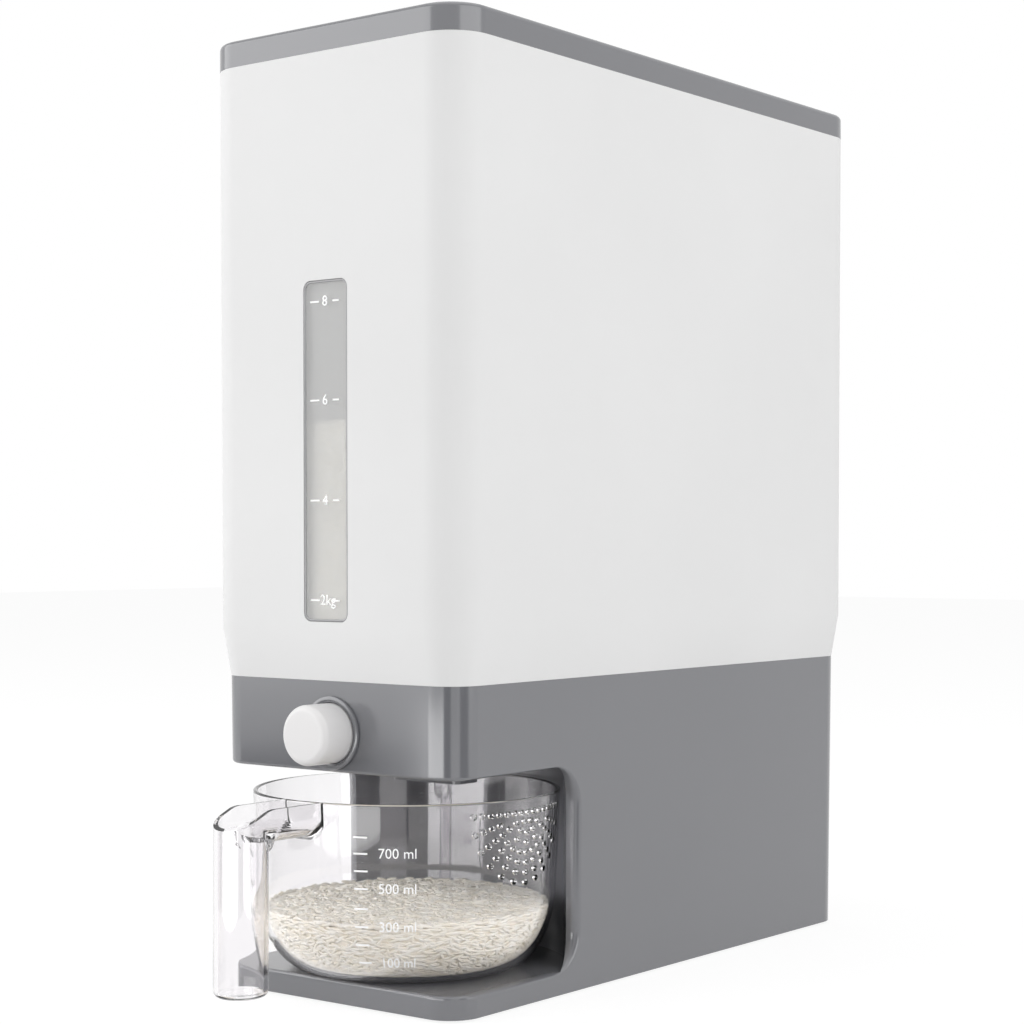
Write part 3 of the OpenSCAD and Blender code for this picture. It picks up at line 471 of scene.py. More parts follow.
def window_plan(bm, grow, set_back):
    """Face in the shape of the window, grown on each side and set back from the front."""
    half = [(size / 2 + grow) * MM for size in WINDOW]
    return rounded_plan(bm, half[0], half[1], (WINDOW_CORNER + grow) * MM, -set_back * MM,
                        centre_y=0, steps=10)


def window_slab(name, grow, start, end):
    """Rounded slab at the window, between two depths behind the hopper's leaning front."""
    bm = bmesh.new()
    draw_on(bm, window_plan(bm, grow, start), (start - end) * MM, centre=(0, 0))
    bmesh.ops.recalc_face_normals(bm, faces=bm.faces)
    to_window(bm)
    return as_piece(name, bm, PANE)


def to_window(bm):
    """Lay a shape drawn in the XY plane against the hopper's front at the window."""
    lean = Matrix.Rotation(HOPPER_DRAFT, 4, "X") @ Matrix.Rotation(math.pi / 2, 4, "X")
    bmesh.ops.transform(bm, matrix=Matrix.Translation((0, Y_WINDOW, WINDOW_Z)) @ lean, verts=bm.verts)


def make_hopper():
    """White hopper with its sloping waist, inward flange, even wall and window hole."""
    bm = bmesh.new()
    z_shoulder = Z_WAIST + WAIST_RISE * MM
    draft = (Z_SEAM - z_shoulder) * math.tan(HOPPER_DRAFT)
    half_w, half_d = hopper_high.x, hopper_high.y - MID_Y
    shoulder = rounded_plan(bm, half_w - draft, half_d - draft, CORNER * MM, z_shoulder)
    bmesh.ops.reverse_faces(bm, faces=[shoulder])
    rim = verts_of(bmesh.ops.extrude_edge_only(bm, edges=shoulder.edges[:]))
    grow = (half_w / (half_w - draft), half_d / (half_d - draft), 1)
    bmesh.ops.scale(bm, vec=grow, verts=rim, space=Matrix.Translation((0, -MID_Y, 0)))
    bmesh.ops.translate(bm, vec=(0, 0, Z_SEAM - z_shoulder), verts=rim)
    taper(bm, shoulder, WAIST_RISE * MM, WAIST_IN * MM)
    taper(bm, shoulder, 0, (WALL + FLANGE) * MM)
    bmesh.ops.delete(bm, geom=[shoulder], context="FACES")
    hopper = as_solid("Hopper", bm, WHITE)
    even_wall(hopper, WALL)
    cut(hopper, window_slab("Window_hole", 0, 6, -6))
    eased(hopper, 0.35)
    smooth(hopper)
    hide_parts("hopper_shell")
    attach(hopper, "housing")


def make_pane():
    """Clear window pane, set back a little, with its flange behind the wall."""
    pane = window_slab("Window", -PANE_FIT, PANE_SET, PANE_SET + 2.65)
    join(pane, window_slab("Window_flange", 4, 2.45, 4.05))
    eased(pane, 0.3)
    smooth(pane)
    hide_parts("window_pane")
    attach(pane, "housing")


def make_pane_edge():
    """Polished edge of the pane, as a slim rounded grey line that frames the window; the grey is
    painted shade for the dark look of the clear edge.
    """
    bm = bmesh.new()
    face = window_plan(bm, -0.1, 0.25)
    bmesh.ops.inset_individual(bm, faces=[face], thickness=1.1 * MM, use_even_offset=True)
    bmesh.ops.delete(bm, geom=[face], context="FACES")
    line = verts_of(bmesh.ops.extrude_face_region(bm, geom=bm.faces[:]))
    bmesh.ops.translate(bm, vec=(0, 0, -1.2 * MM), verts=line)
    bmesh.ops.recalc_face_normals(bm, faces=bm.faces)
    to_window(bm)
    edge = as_piece("Window_edge", bm, PANE_EDGE_SHADE)
    eased(edge, 0.45, segments=4)
    smooth(edge)
    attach(edge, "housing")


# ---------- lid ----------

def make_lid():
    """Grey lid: a shallow cap with a rounded top edge, and the plug under it."""
    bm = bmesh.new()
    face = rounded_plan(bm, lid_high.x, lid_high.y - MID_Y, CORNER * MM, Z_SEAM, steps=16)
    draw_on(bm, face, Z_TOP - Z_SEAM)
    just_under_top = Z_TOP - 1e-5
    under = [f for f in bm.faces if abs(f.normal.z) > 0.9 and f.calc_center_median().z < just_under_top]
    bmesh.ops.delete(bm, geom=under, context="FACES")
    soften(bm, LID_EDGE * MM, lambda e: all(v.co.z > just_under_top for v in e.verts), segments=6)
    lid = as_solid("Lid", bm, GREY)
    even_wall(lid, LID_WALL)
    join(lid, lid_plug())
    eased(lid, 0.3)
    smooth(lid)
    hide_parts("lid")
    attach(lid, "lid")


def lid_plug():
    """Ring under the lid that fits inside the hopper, with the ledge for the seal."""
    inset = WALL + PLUG_GAP
    half_w, half_d = lid_high.x - inset * MM, lid_high.y - MID_Y - inset * MM
    radius = (CORNER - inset) * MM
    low, ledge, wall = lid_low.z, PLUG_LEDGE * MM, PLUG_WALL * MM
    plug = prism("Lid_plug", half_w, half_d, radius, low, Z_TOP - LID_WALL * MM / 2 - low)
    rim = prism("Lid_ledge", half_w + ledge, half_d + ledge, radius + ledge, low, 1.6 * MM)
    join(plug, rim)
    hollow = prism("Lid_hollow", half_w - wall, half_d - wall, radius - wall, low - MM,
                   Z_TOP - LID_WALL * MM - low + MM)
    cut(plug, hollow)
    return plug


# ---------- base ----------

def base_body(name, inset, over):
    """The base's tapering outside, made smaller by inset and longer by over at each end."""
    lean = math.tan(BASE_DRAFT)
    low_in = (Z_WAIST - Z_BASE + over * MM) * lean
    widening = low_in + over * MM * lean
    half_w = base_high.x - inset * MM - low_in
    half_d = base_high.y - MID_Y - inset * MM - low_in
    return prism(name, half_w, half_d, (CORNER - WAIST_IN - inset) * MM, Z_BASE - over * MM,
                 Z_WAIST - Z_BASE + 2 * over * MM, widen=(widening, widening), steps=16)


def bay_hollow(name, grow):
    """The bay: a slot open to the front and the sides, and the round room for the cup."""
    front = hopper_low.y - 20 * MM
    rear = CUP_Y + (OPENING_BACK + grow) * MM
    low, high = Z_TRAY - grow * MM, Z_CEILING + grow * MM
    bm = bmesh.new()
    slab(bm, (-90 * MM, front, low), (90 * MM, rear, high))
    soften(bm, (OPENING_CORNER + grow) * MM,
           lambda e: all(v.co.y > rear - 1e-6 for v in e.verts) and e.verts[0].co.z == e.verts[1].co.z,
           segments=14)
    bay = as_solid(name, bm, GREY)
    bm = bmesh.new()
    middle = Matrix.Translation((0, CUP_Y, (low + high) / 2))
    rod(bm, BAY_R + grow * MM, high - low, middle, segments=128)
    join(bay, as_piece("Bay_round", bm, GREY))
    return bay


def make_base():
    """Grey base: four walls, the bay's lining with its tray and ceiling, and its holes."""
    base = base_body("Base", 0, 0)
    inside = base_body("Base_inside", WALL, 5)
    cut(inside, bay_hollow("Bay_lining", WALL))
    cut(base, inside)
    cut(base, bay_hollow("Bay", 0))
    ease_front(base)
    bm = bmesh.new()
    front = Matrix.Translation((0, base_low.y, BUTTON_Z)) @ Matrix.Rotation(math.pi / 2, 4, "X")
    rod(bm, BUTTON_R + BUTTON_GAP * MM, 30 * MM, front)
    cut(base, as_piece("Button_hole", bm, GREY))
    outlet = prism("Outlet_hole", OUTLET[0] * MM, OUTLET[1] * MM, OUTLET_CORNER * MM,
                   Z_CEILING - 5 * MM, 15 * MM, centre_y=(nozzle_low.y + nozzle_high.y) / 2, steps=6)
    cut(base, outlet)
    for side in (-1, 1):
        cut(base, opening_flare(side))
    tidy_flats(base)
    smooth(base)
    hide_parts("base_shell")
    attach(base, "housing")


def ease_front(base):
    """Round the edge where the bay breaks through the front."""
    tidy_flats(base)
    bm = bmesh.new()
    bm.from_mesh(base.data)
    weight = bm.edges.layers.float.new("bevel_weight_edge")
    for edge in bm.edges:
        if at_bay_front(edge):
            edge[weight] = 1
    bm.to_mesh(base.data)
    bm.free()
    step = base.modifiers.new("Front_edge", "BEVEL")
    step.limit_method = "WEIGHT"
    step.width = OPENING_EDGE * TRAY_SHARE * MM
    step.segments = 4
    step.use_clamp_overlap = False
    settle(base)


def opening_ring(bm, side, wider, deeper):
    """Closed line round a side opening, wider than its outline and deeper than the side's face."""
    radius = (OPENING_CORNER + wider) * MM
    y = CUP_Y + (OPENING_BACK - OPENING_CORNER) * MM
    low, high = Z_TRAY - TRAY_SHARE * wider * MM, Z_CEILING + CEILING_SHARE * wider * MM
    well_in_front = hopper_low.y - 0.1
    arc = quarter(12)
    points = ([(well_in_front, low)]
              + [(y + radius * math.sin(a), low + radius * (1 - math.cos(a))) for a in arc]
              + [(y + radius * math.cos(a), high - radius * (1 - math.sin(a))) for a in arc]
              + [(well_in_front, high)])
    lean = math.tan(BASE_DRAFT)
    verts = [bm.verts.new((side * (base_high.x - (Z_WAIST - z) * lean - deeper * MM), at, z))
             for at, z in points]
    return [bm.edges.new((a, b)) for a, b in zip(verts, verts[1:] + verts[:1])]


def opening_flare(side):
    """What the rounding takes away round one side opening; it starts inside the bay."""
    bm = bmesh.new()
    edge = OPENING_EDGE
    round_part = [(edge * (1 - math.cos(a)), edge * (1 - math.sin(a))) for a in quarter(10)]
    steps = [(-0.5, edge + 0.5)] + round_part + [(edge, -edge)]
    rings = [opening_ring(bm, side, wider, deeper) for wider, deeper in steps]
    for ring, further in zip(rings, rings[1:]):
        bmesh.ops.bridge_loops(bm, edges=ring + further)
    bmesh.ops.holes_fill(bm, edges=rings[0] + rings[-1], sides=0)
    return as_solid("Opening_flare", bm, GREY)


def tidy_flats(piece):
    """Join the flat scraps that the cuts leave into whole faces."""
    bm = bmesh.new()
    bm.from_mesh(piece.data)
    bmesh.ops.remove_doubles(bm, verts=bm.verts, dist=1e-5)
    bmesh.ops.dissolve_degenerate(bm, edges=bm.edges, dist=1e-5)
    bmesh.ops.dissolve_limit(bm, angle_limit=math.radians(0.15), verts=bm.verts, edges=bm.edges,
                             use_dissolve_boundaries=False, delimit=set())
    bm.to_mesh(piece.data)
    bm.free()


def at_bay_front(edge):
    """Is this edge between the base's leaning front and the bay?"""
    middle = (edge.verts[0].co + edge.verts[1].co) / 2
    if len(edge.link_faces) != 2 or middle.y > base_low.y + (CORNER - WAIST_IN) * MM:
        return False
    heights = [v.co.z for v in edge.verts]
    if min(heights) < Z_TRAY - MM or max(heights) > Z_CEILING + MM:
        return False
    outer = [-0.05 < face.normal.z < -0.004 for face in edge.link_faces]
    return outer[0] != outer[1] and edge.calc_face_angle() > math.radians(50)


# ---------- button ----------

def make_ring():
    """Grey ring round the button: two steps with a groove between them."""
    outer = ring_high.x
    bore = outer - 2.8 * MM
    depth = ring_high.y - ring_low.y
    face = ring_low.y
    proud = 1.6 * MM
    bm = bmesh.new()
    sleeve = outer - 1.8 * MM
    profile = [(bore, depth), (bore, 0.7 * MM), (bore + 0.8 * MM, 0.6 * MM), (bore + 1.0 * MM, 0),
               (outer - 0.8 * MM, 0), (outer - 0.2 * MM, 0.4 * MM), (outer, 1.0 * MM), (outer, proud),
               (sleeve, proud), (sleeve, depth), (bore, depth)]
    turned(bm, profile, (0, 1, 0), (0, face, BUTTON_Z))
    ring = as_piece("Button_ring", bm, GREY)
    eased(ring, 0.15)
    smooth(ring)
    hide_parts("button_bezel")
    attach(ring, "housing")


def make_cap():
    """White push button with a rounded front edge and a stop flange."""
    length = cap_high.y - cap_low.y
    flange, wall, edge = cap_high.x, 1.8 * MM, 3 * MM
    arc = [(BUTTON_R - edge * (1 - math.sin(a)), edge * (1 - math.cos(a))) for a in quarter(9)]
    stop = length - 1.6 * MM
    profile = ([(0, 0)] + arc + [(BUTTON_R, stop), (flange, stop), (flange, length)]
               + [(BUTTON_R - wall, length), (BUTTON_R - wall, wall), (0, wall)])
    bm = bmesh.new()
    turned(bm, profile, (0, 1, 0), (0, cap_low.y, BUTTON_Z))
    cap = as_piece("Button", bm, CAP_WHITE)
    smooth(cap)
    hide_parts("button_cap")
    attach(cap, "button")


def make_spring():
    """Return spring: a copy of the imported spring with its points merged, in zinc, carried with the
    housing.
    """
    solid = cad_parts["return_spring"]
    spring = bpy.data.objects.new("Return_spring", solid.data.copy())
    spring.matrix_world = solid.matrix_world.copy()
    bpy.context.scene.collection.objects.link(spring)
    bm = bmesh.new()
    bm.from_mesh(spring.data)
    bmesh.ops.remove_doubles(bm, verts=bm.verts, dist=1e-6)
    bm.to_mesh(spring.data)
    bm.free()
    spring.data.materials.clear()
    spring.data.materials.append(ZINC)
    smooth(spring)
    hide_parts("return_spring")
    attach(spring, "housing")
    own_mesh(spring)


# ---------- measuring cup ----------

def bowl_radius(z, inset=0.0):
    """Radius of the bowl's outside at the height z, made smaller by inset."""
    above = z - cup_low.z
    foot_w, foot_h = CUP_FOOT[0] * MM, CUP_FOOT[1] * MM
    tall = Z_RIM - cup_low.z
    if above >= foot_h:
        return CUP_R - (tall - above) * math.tan(CUP_DRAFT) - inset
    side = CUP_R - (tall - foot_h) * math.tan(CUP_DRAFT) - inset
    wide, high = foot_w - inset / 2, foot_h - inset
    drop = min(1, max(0, (foot_h - above) / high))
    return side - wide + wide * (1 - drop ** CUP_FULLNESS) ** (1 / CUP_FULLNESS)


def bowl_profile(inset, top):
    """Points of the bowl from the middle of its floor, round its foot, to the rim."""
    foot_h = CUP_FOOT[1] * MM
    high = foot_h - inset
    points = [(0, cup_low.z + inset)]
    for k in range(25):
        a = math.radians(90 - 90 * k / 24)
        z = cup_low.z + foot_h - high * math.sin(a) ** (2 / CUP_FULLNESS)
        side = bowl_radius(cup_low.z + foot_h) - inset
        wide = CUP_FOOT[0] * MM - inset / 2
        points.append((side - wide + wide * max(0, math.cos(a)) ** (2 / CUP_FULLNESS), z))
    low = [point for point in points if point[1] < top - 0.2 * MM]
    cut_off = len(low) < len(points)
    return low + [(edge_radius(points, top) if cut_off else bowl_radius(top) - inset, top)]


def edge_radius(points, z):
    """Radius of the profile at the height z."""
    for (r0, z0), (r1, z1) in zip(points, points[1:]):
        if z0 <= z <= z1 and z1 > z0:
            return r0 + (r1 - r0) * (z - z0) / (z1 - z0)
    return points[-1][0]


def bowl(name, inset, top, wall=0.0):
    """The bowl as a solid, or with a wall as a shell whose rim is rounded."""
    points = bowl_profile(inset, top - wall / 2)
    if wall:
        inner = bowl_profile(inset + wall, top - wall / 2)
        middle = bowl_radius(top) - inset - wall / 2
        rim = [(middle + wall / 2 * math.cos(a), top - wall / 2 + wall / 2 * math.sin(a))
               for a in [math.radians(30 * k) for k in range(1, 6)]]
        points = points + rim + inner[::-1]
    else:
        points = points + [(0, top)]
    bm = bmesh.new()
    turned(bm, points, (0, 0, 1), (0, CUP_Y, 0), steps=128)
    return as_piece(name, bm, CLEAR)


def upright(name, radius, y, low, high):
    """Upright rod in the middle plane."""
    bm = bmesh.new()
    rod(bm, radius, high - low, Matrix.Translation((0, y, (low + high) / 2)))
    return as_piece(name, bm, CLEAR)


def carry(bm, face, step, drop=0.0):
    """Draw the trough's end on along Y while everything under its rim sinks by drop."""
    made = bmesh.ops.extrude_face_region(bm, geom=[face])["geom"]
    end = next(part for part in made if isinstance(part, bmesh.types.BMFace))
    bmesh.ops.translate(bm, vec=(0, step, 0), verts=end.verts)
    under = [v for v in end.verts if v.co.z < Z_RIM - 1e-6]
    bmesh.ops.translate(bm, vec=(0, 0, -drop), verts=under)
    if any(len(edge.link_faces) > 2 for edge in face.edges):
        bmesh.ops.delete(bm, geom=[face], context="FACES_ONLY")
    return end


def neck(name):
    """Outside of the trough, from the bowl to the grip, hollowed under at both ends."""
    bm = bmesh.new()
    fillet = NECK_FILLET * MM
    start = 6 * MM
    low = Z_RIM - NECK * MM - fillet
    grip_end = GRIP_Y + GRIP_R * 0.7 * MM
    bowl_end = CUP_Y - bowl_radius(low) + CUP_WALL * MM / 2
    face = trough_section(bm, GRIP_R * MM, NECK_R * MM, low, Z_RIM)
    bmesh.ops.translate(bm, vec=(0, bowl_end + start, 0), verts=bm.verts)
    angles = quarter(9)
    face = carry(bm, face, -start)
    bends = [(fillet * (math.cos(a) - math.cos(b)), fillet * (math.sin(b) - math.sin(a)))
             for a, b in zip(angles, angles[1:])]
    for along, rise in bends:
        face = carry(bm, face, -along, -rise)
    face = carry(bm, face, grip_end + fillet - (bowl_end - fillet))
    for along, rise in bends[::-1]:
        face = carry(bm, face, -along, rise)
    carry(bm, face, GRIP_Y - grip_end)
    return as_solid(name, bm, CLEAR)


def trough_section(bm, half_w, radius, low, top):
    """Face across the trough, in the XZ plane, with rounded lower edges."""
    corners = bmesh.ops.create_grid(bm, x_segments=1, y_segments=1, size=1)["verts"]
    bmesh.ops.scale(bm, vec=(half_w, (top - low) / 2, 1), verts=corners)
    lower = [v for v in corners if v.co.y < 0]
    bmesh.ops.bevel(bm, geom=lower, offset=radius, offset_type="OFFSET", affect="VERTICES",
                    segments=10, profile=0.5, material=-1)
    bmesh.ops.rotate(bm, cent=(0, 0, 0), matrix=Matrix.Rotation(math.pi / 2, 3, "X"), verts=bm.verts)
    bmesh.ops.translate(bm, vec=(0, 0, (top + low) / 2), verts=bm.verts)
    return next(iter(bm.faces))


def neck_hollow():
    """What is open inside the trough, from the bowl to the grip."""
    bm = bmesh.new()
    face = trough_section(bm, (GRIP_R - CUP_WALL) * MM, (NECK_R - CUP_WALL) * MM,
                          Z_RIM - (NECK - CUP_WALL) * MM, Z_RIM + 5 * MM)
    bmesh.ops.translate(bm, vec=(0, GRIP_Y, 0), verts=bm.verts)
    carry(bm, face, CUP_Y - CUP_R / 2 - GRIP_Y)
    return as_solid("Trough", bm, CLEAR)


def slope_space():
    """What the falling top of the grip takes away, with a curve where it starts to fall."""
    bend = GRIP_Y + (SLOPE_START + SLOPE_R * math.tan(GRIP_SLOPE / 2)) * MM
    bm = bmesh.new()
    bm.edges.new([bm.verts.new((x * MM, bend, Z_RIM)) for x in (-25, 25)])
    turn = bmesh.ops.spin(bm, geom=bm.edges[:], cent=(0, bend, Z_RIM - SLOPE_R * MM), axis=(1, 0, 0),
                          angle=GRIP_SLOPE, steps=8, use_merge=False)
    end = [part for part in turn["geom_last"] if isinstance(part, bmesh.types.BMEdge)]
    tail = verts_of(bmesh.ops.extrude_edge_only(bm, edges=end))
    run = 50 * MM
    fall = (0, -run * math.cos(GRIP_SLOPE), -run * math.sin(GRIP_SLOPE))
    bmesh.ops.translate(bm, vec=fall, verts=tail)
    upper = verts_of(bmesh.ops.extrude_face_region(bm, geom=bm.faces[:], use_keep_orig=True))
    for v in upper:
        v.co.z = Z_RIM + 20 * MM
    return as_solid("Slope", bm, CLEAR)


def grip_tube(name):
    """Upright grip with a rounded foot."""
    radius, foot = GRIP_R * MM, 3 * MM
    low = cup_low.z + 1.9 * MM
    arc = [(radius - foot * (1 - math.sin(a)), low + foot * (1 - math.cos(a))) for a in quarter(9)]
    profile = [(0, low)] + arc + [(radius, Z_RIM), (0, Z_RIM)]
    bm = bmesh.new()
    turned(bm, profile, (0, 0, 1), (0, GRIP_Y, 0), steps=72)
    return as_piece(name, bm, CLEAR)


def make_handle():
    """Handle: an open trough from the bowl to a hollow upright grip with a falling top."""
    handle = grip_tube("Handle")
    over = Z_RIM + 5 * MM
    join(handle, neck("Neck"))
    hollow = upright("Grip_hollow", (GRIP_R - CUP_WALL) * MM, GRIP_Y, cup_low.z + 3.9 * MM, over)
    cut(handle, hollow)
    cut(handle, neck_hollow())
    cut(handle, slope_space())
    cut(handle, bowl("Bowl_space", CUP_WALL * MM / 2, over))
    return handle


def strainer_bores(name):
    """Half-disc of fine holes: a straight row on top and rings of holes under it."""
    top = Z_RIM - STRAINER_TOP * MM
    bm = bmesh.new()
    for ring in range(STRAINER_RINGS + 1):
        reach = ring * STRAINER_PITCH * MM
        step = {0: 360, 1: 60}.get(ring, 30 if ring < 4 else 15)
        for a in [math.radians(d) for d in range(0, 181, step)]:
            turn = Matrix.Rotation(reach * math.cos(a) / CUP_R, 4, "Z")
            height = Matrix.Translation((0, CUP_Y, top - reach * math.sin(a)))
            outward = Matrix.Translation((CUP_R - 4 * MM, 0, 0)) @ Matrix.Rotation(math.pi / 2, 4, "Y")
            rod(bm, STRAINER_R * MM, 16 * MM, height @ turn @ outward, segments=20)
    return as_piece(name, bm, CLEAR)


def make_cup():
    """Clear cup: a bowl with a rounded rim, its handle and the strainer's holes."""
    cup = bowl("Measuring_cup", 0, Z_RIM, wall=CUP_WALL * MM)
    join(cup, make_handle())
    cut(cup, strainer_bores("Strainer_bores"))
    smooth(cup, angle=40)
    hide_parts("measuring_cup")
    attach(cup, "cup")


# ---------- rice ----------

def grain_body(name, around, along):
    """One polished grain lying along X: slim, rounded and a little bent."""
    bm = bmesh.new()
    turn = Matrix.Rotation(math.pi / 2, 4, "Y")
    bmesh.ops.create_uvsphere(bm, u_segments=around, v_segments=along, radius=1, matrix=turn)
    bmesh.ops.scale(bm, vec=[half * MM for half in GRAIN], verts=bm.verts)
    for v in bm.verts:
        v.co.y += GRAIN_BEND * v.co.x ** 2
    mesh = bpy.data.meshes.new(name)
    bm.to_mesh(mesh)
    bm.free()
    mesh.shade_smooth()
    return mesh


def heap(name, shape, places, body):
    """One piece of many grains, each turned and moved to its own place."""
    bm = bmesh.new()
    for place in places:
        copy = shape.copy()
        copy.transform(place)
        bm.from_mesh(copy)
        bpy.data.meshes.remove(copy)
    bpy.data.meshes.remove(shape)
    piece = as_piece(name, bm, RICE)
    piece.data.shade_smooth()
    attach(piece, body)


def lying(chance, place, normal, along, swing):
    """Place of a grain on a surface: its length near the direction along, within a swing."""
    up = Vector(normal).normalized()
    length = Vector(along)
    length = (length - up * length.dot(up)).normalized()
    length.rotate(Quaternion(up, chance.uniform(-swing, swing)))
    tilt = Quaternion(up.cross(length), chance.gauss(0, 0.07))
    length.rotate(tilt)
    across = up.cross(length).normalized()
    face = length.cross(across)
    turn = Matrix((length, across, face)).transposed().to_4x4()
    size = chance.uniform(0.88, 1.06)
    return Matrix.Translation(place) @ turn @ Matrix.Scale(size, 4)


def on_cup_surface(chance):
    """Grains on top of the rice in the cup, turned along the wall where they lie beside it."""
    places = []
    gap = 2.2 * MM
    reach = bowl_radius(Z_RICE) - (CUP_WALL + 1.0) * MM
    rows = int(reach / (gap * ROW_SHARE)) + 1
    for row in range(-rows, rows + 1):
        for step in range(-rows - 1, rows + 2):
            x = (step + 0.5 * (row % 2)) * gap + chance.uniform(-0.4, 0.4) * gap
            y = row * gap * ROW_SHARE + chance.uniform(-0.4, 0.4) * gap
            room = reach - math.hypot(x, y)
            if room < 0:
                continue
            z = Z_RICE + rice_swell(x, y) + chance.uniform(-0.5, 0.3) * MM
            normal = (chance.gauss(0, 0.07), chance.gauss(0, 0.07), 1)
            free = math.pi / 2 if room > 2.2 * MM else 0.35 + 0.4 * room / (2.2 * MM)
            places.append(lying(chance, (x, y + CUP_Y, z), normal, (-y, x, 0.0), free))
    return places


def rice_swell(x, y):
    """Gentle rise of the heap towards the back right."""
    return 0.5 * MM * math.sin(28 * x + 0.4) * math.cos(22 * y) + 4 * MM * (x + y)


def at_cup_wall(chance):
    """Grains that lie flat against the inside of the bowl, in rows up its profile."""
    places = []
    gap = 2.05 * MM
    points = bowl_profile((CUP_WALL + 0.95) * MM, Z_RICE)
    for (r0, z0), (r1, z1) in zip(points, points[1:]):
        run = math.hypot(r1 - r0, z1 - z0)
        if (r0 + r1) / 2 < 36 * MM or run < 1e-6:
            continue
        slope = ((r1 - r0) / run, (z1 - z0) / run)
        count = max(1, round(run / (gap * ROW_SHARE)))
        for k in range(count):
            t = (k + 0.5) / count
            places += wall_row(chance, r0 + (r1 - r0) * t, z0 + (z1 - z0) * t, slope, gap)
    return places


def wall_row(chance, r, z, slope, gap):
    """One row of grains round the bowl, where its wall runs outwards and up with the slope."""
    places = []
    count = round(2 * math.pi * r / gap)
    for step in range(count):
        a = 2 * math.pi * (step + chance.uniform(-0.45, 0.45)) / count
        rise = chance.uniform(-0.4, 0.4) * gap
        far = r - chance.uniform(0.0, 0.3) * MM + slope[0] * rise
        spot = (far * math.cos(a), far * math.sin(a) + CUP_Y, z + slope[1] * rise)
        normal = (slope[1] * math.cos(a), slope[1] * math.sin(a), -slope[0])
        swing = 0.5 if chance.random() < 0.7 else 1.4
        if z > Z_RICE - 3.5 * MM:
            swing = 0.25
        places.append(lying(chance, spot, normal, (-math.sin(a), math.cos(a), 0), swing))
    return places


def make_cup_rice():
    """Rice in the cup: a bed, with grains on top of it and at the cup's wall."""
    chance = random.Random(7)
    heap("Rice_on_top", grain_body("Grain_on_top", 5, 5), on_cup_surface(chance), "cup")
    heap("Rice_at_wall", grain_body("Grain_at_wall", 5, 5), at_cup_wall(chance), "cup")
    bed = bowl("Rice_bed", (CUP_WALL + 1.4) * MM, Z_RICE - 1.5 * MM)
    bed.data.materials[0] = RICE_BED
    smooth(bed)
    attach(bed, "cup")


def behind_window(chance, back_of_pane):
    """Grains that lie against the back of the window."""
    places = []
    gap = 2.05 * MM
    low = pane_low.z + 3 * MM
    for row in range(int((Z_STORE - low) / (gap * ROW_SHARE))):
        for step in range(-8, 9):
            x = (step + chance.uniform(-0.45, 0.45)) * gap
            z = low + (row + chance.uniform(-0.4, 0.4)) * gap * ROW_SHARE
            y = back_of_pane + chance.uniform(1.1, 1.8) * MM + (WINDOW_Z - z) * math.tan(HOPPER_DRAFT)
            swing = 0.6 if chance.random() < 0.7 else 1.5
            places.append(lying(chance, (x, y, z), (0, -1, 0), (1, 0, 0.2), swing))
    return places


def across_hopper(chance, back_of_pane):
    """Grains on top of the rice in the hopper."""
    places = []
    gap = 3.5 * MM
    half_w = hopper_high.x - 10.2 * MM
    near, far = back_of_pane + 6 * MM, hopper_high.y - 10 * MM
    columns = int(half_w / gap)
    for row in range(int((far - near) / (gap * ROW_SHARE))):
        for step in range(-columns, columns + 1):
            x = (step + 0.5 * (row % 2) + chance.uniform(-0.4, 0.4)) * gap
            y = near + (row + chance.uniform(-0.4, 0.4)) * gap * ROW_SHARE
            if abs(x) > half_w:
                continue
            z = Z_STORE + chance.uniform(-0.8, 0.4) * MM + store_swell(x, y)
            normal = (chance.gauss(0, 0.15), chance.gauss(0, 0.15), 1)
            places.append(lying(chance, (x, y, z), normal, (1, 0, 0), 3.1))
    return places


def make_hopper_rice():
    """Rice behind the window and across the hopper, over the sloping floor."""
    chance = random.Random(11)
    back_of_pane = Y_WINDOW + PANE_ROOM * MM
    at_window = behind_window(chance, back_of_pane)
    heap("Rice_at_window", grain_body("Grain_at_window", 6, 6), at_window, "housing")
    on_top = across_hopper(chance, back_of_pane)
    heap("Rice_in_hopper", grain_body("Grain_in_hopper", 5, 5), on_top, "housing")
    store_bed(back_of_pane)


def store_swell(x, y):
    """Gentle waves in the top of the rice in the hopper."""
    return 1.4 * MM * math.sin(31 * x + 1) * math.cos(17 * y)


def store_bed(back_of_pane):
    """The rice under and behind the grains that show."""
    top = Z_STORE - 1.2 * MM
    half_w, rear, floor = 64 * MM, 186 * MM, 226 * MM
    bm = bmesh.new()
    slab(bm, (-half_w, back_of_pane + 8 * MM, floor), (half_w, rear, top))
    bed = as_piece("Rice_store", bm, RICE_BED)
    lane, lane_rear = 17 * MM, -30 * MM
    bm = bmesh.new()
    slab(bm, (-lane, back_of_pane + 1.9 * MM, pane_low.z + 2 * MM), (lane, lane_rear, top))
    join(bed, as_piece("Rice_front", bm, RICE_BED))
    eased(bed, 2, segments=3)
    smooth(bed)
    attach(bed, "housing")


# ---------- printed marks ----------

def lettering(bm, text, size, place):
    """Flat letters of one line, drawn into the shape with their middle at the place."""
    curve = bpy.data.curves.new("Line", "FONT")
    curve.body = text
    curve.size = size
    curve.align_x = "LEFT"
    curve.align_y = "CENTER"
    curve.resolution_u = 3
    holder = bpy.data.objects.new("Line", curve)
    bpy.context.scene.collection.objects.link(holder)
    mesh = bpy.data.meshes.new_from_object(holder.evaluated_get(bpy.context.evaluated_depsgraph_get()))
    bpy.data.objects.remove(holder)
    bpy.data.curves.remove(curve)
    mesh.transform(Matrix.Translation((place[0], place[1], 0)))
    bm.from_mesh(mesh)
    bpy.data.meshes.remove(mesh)


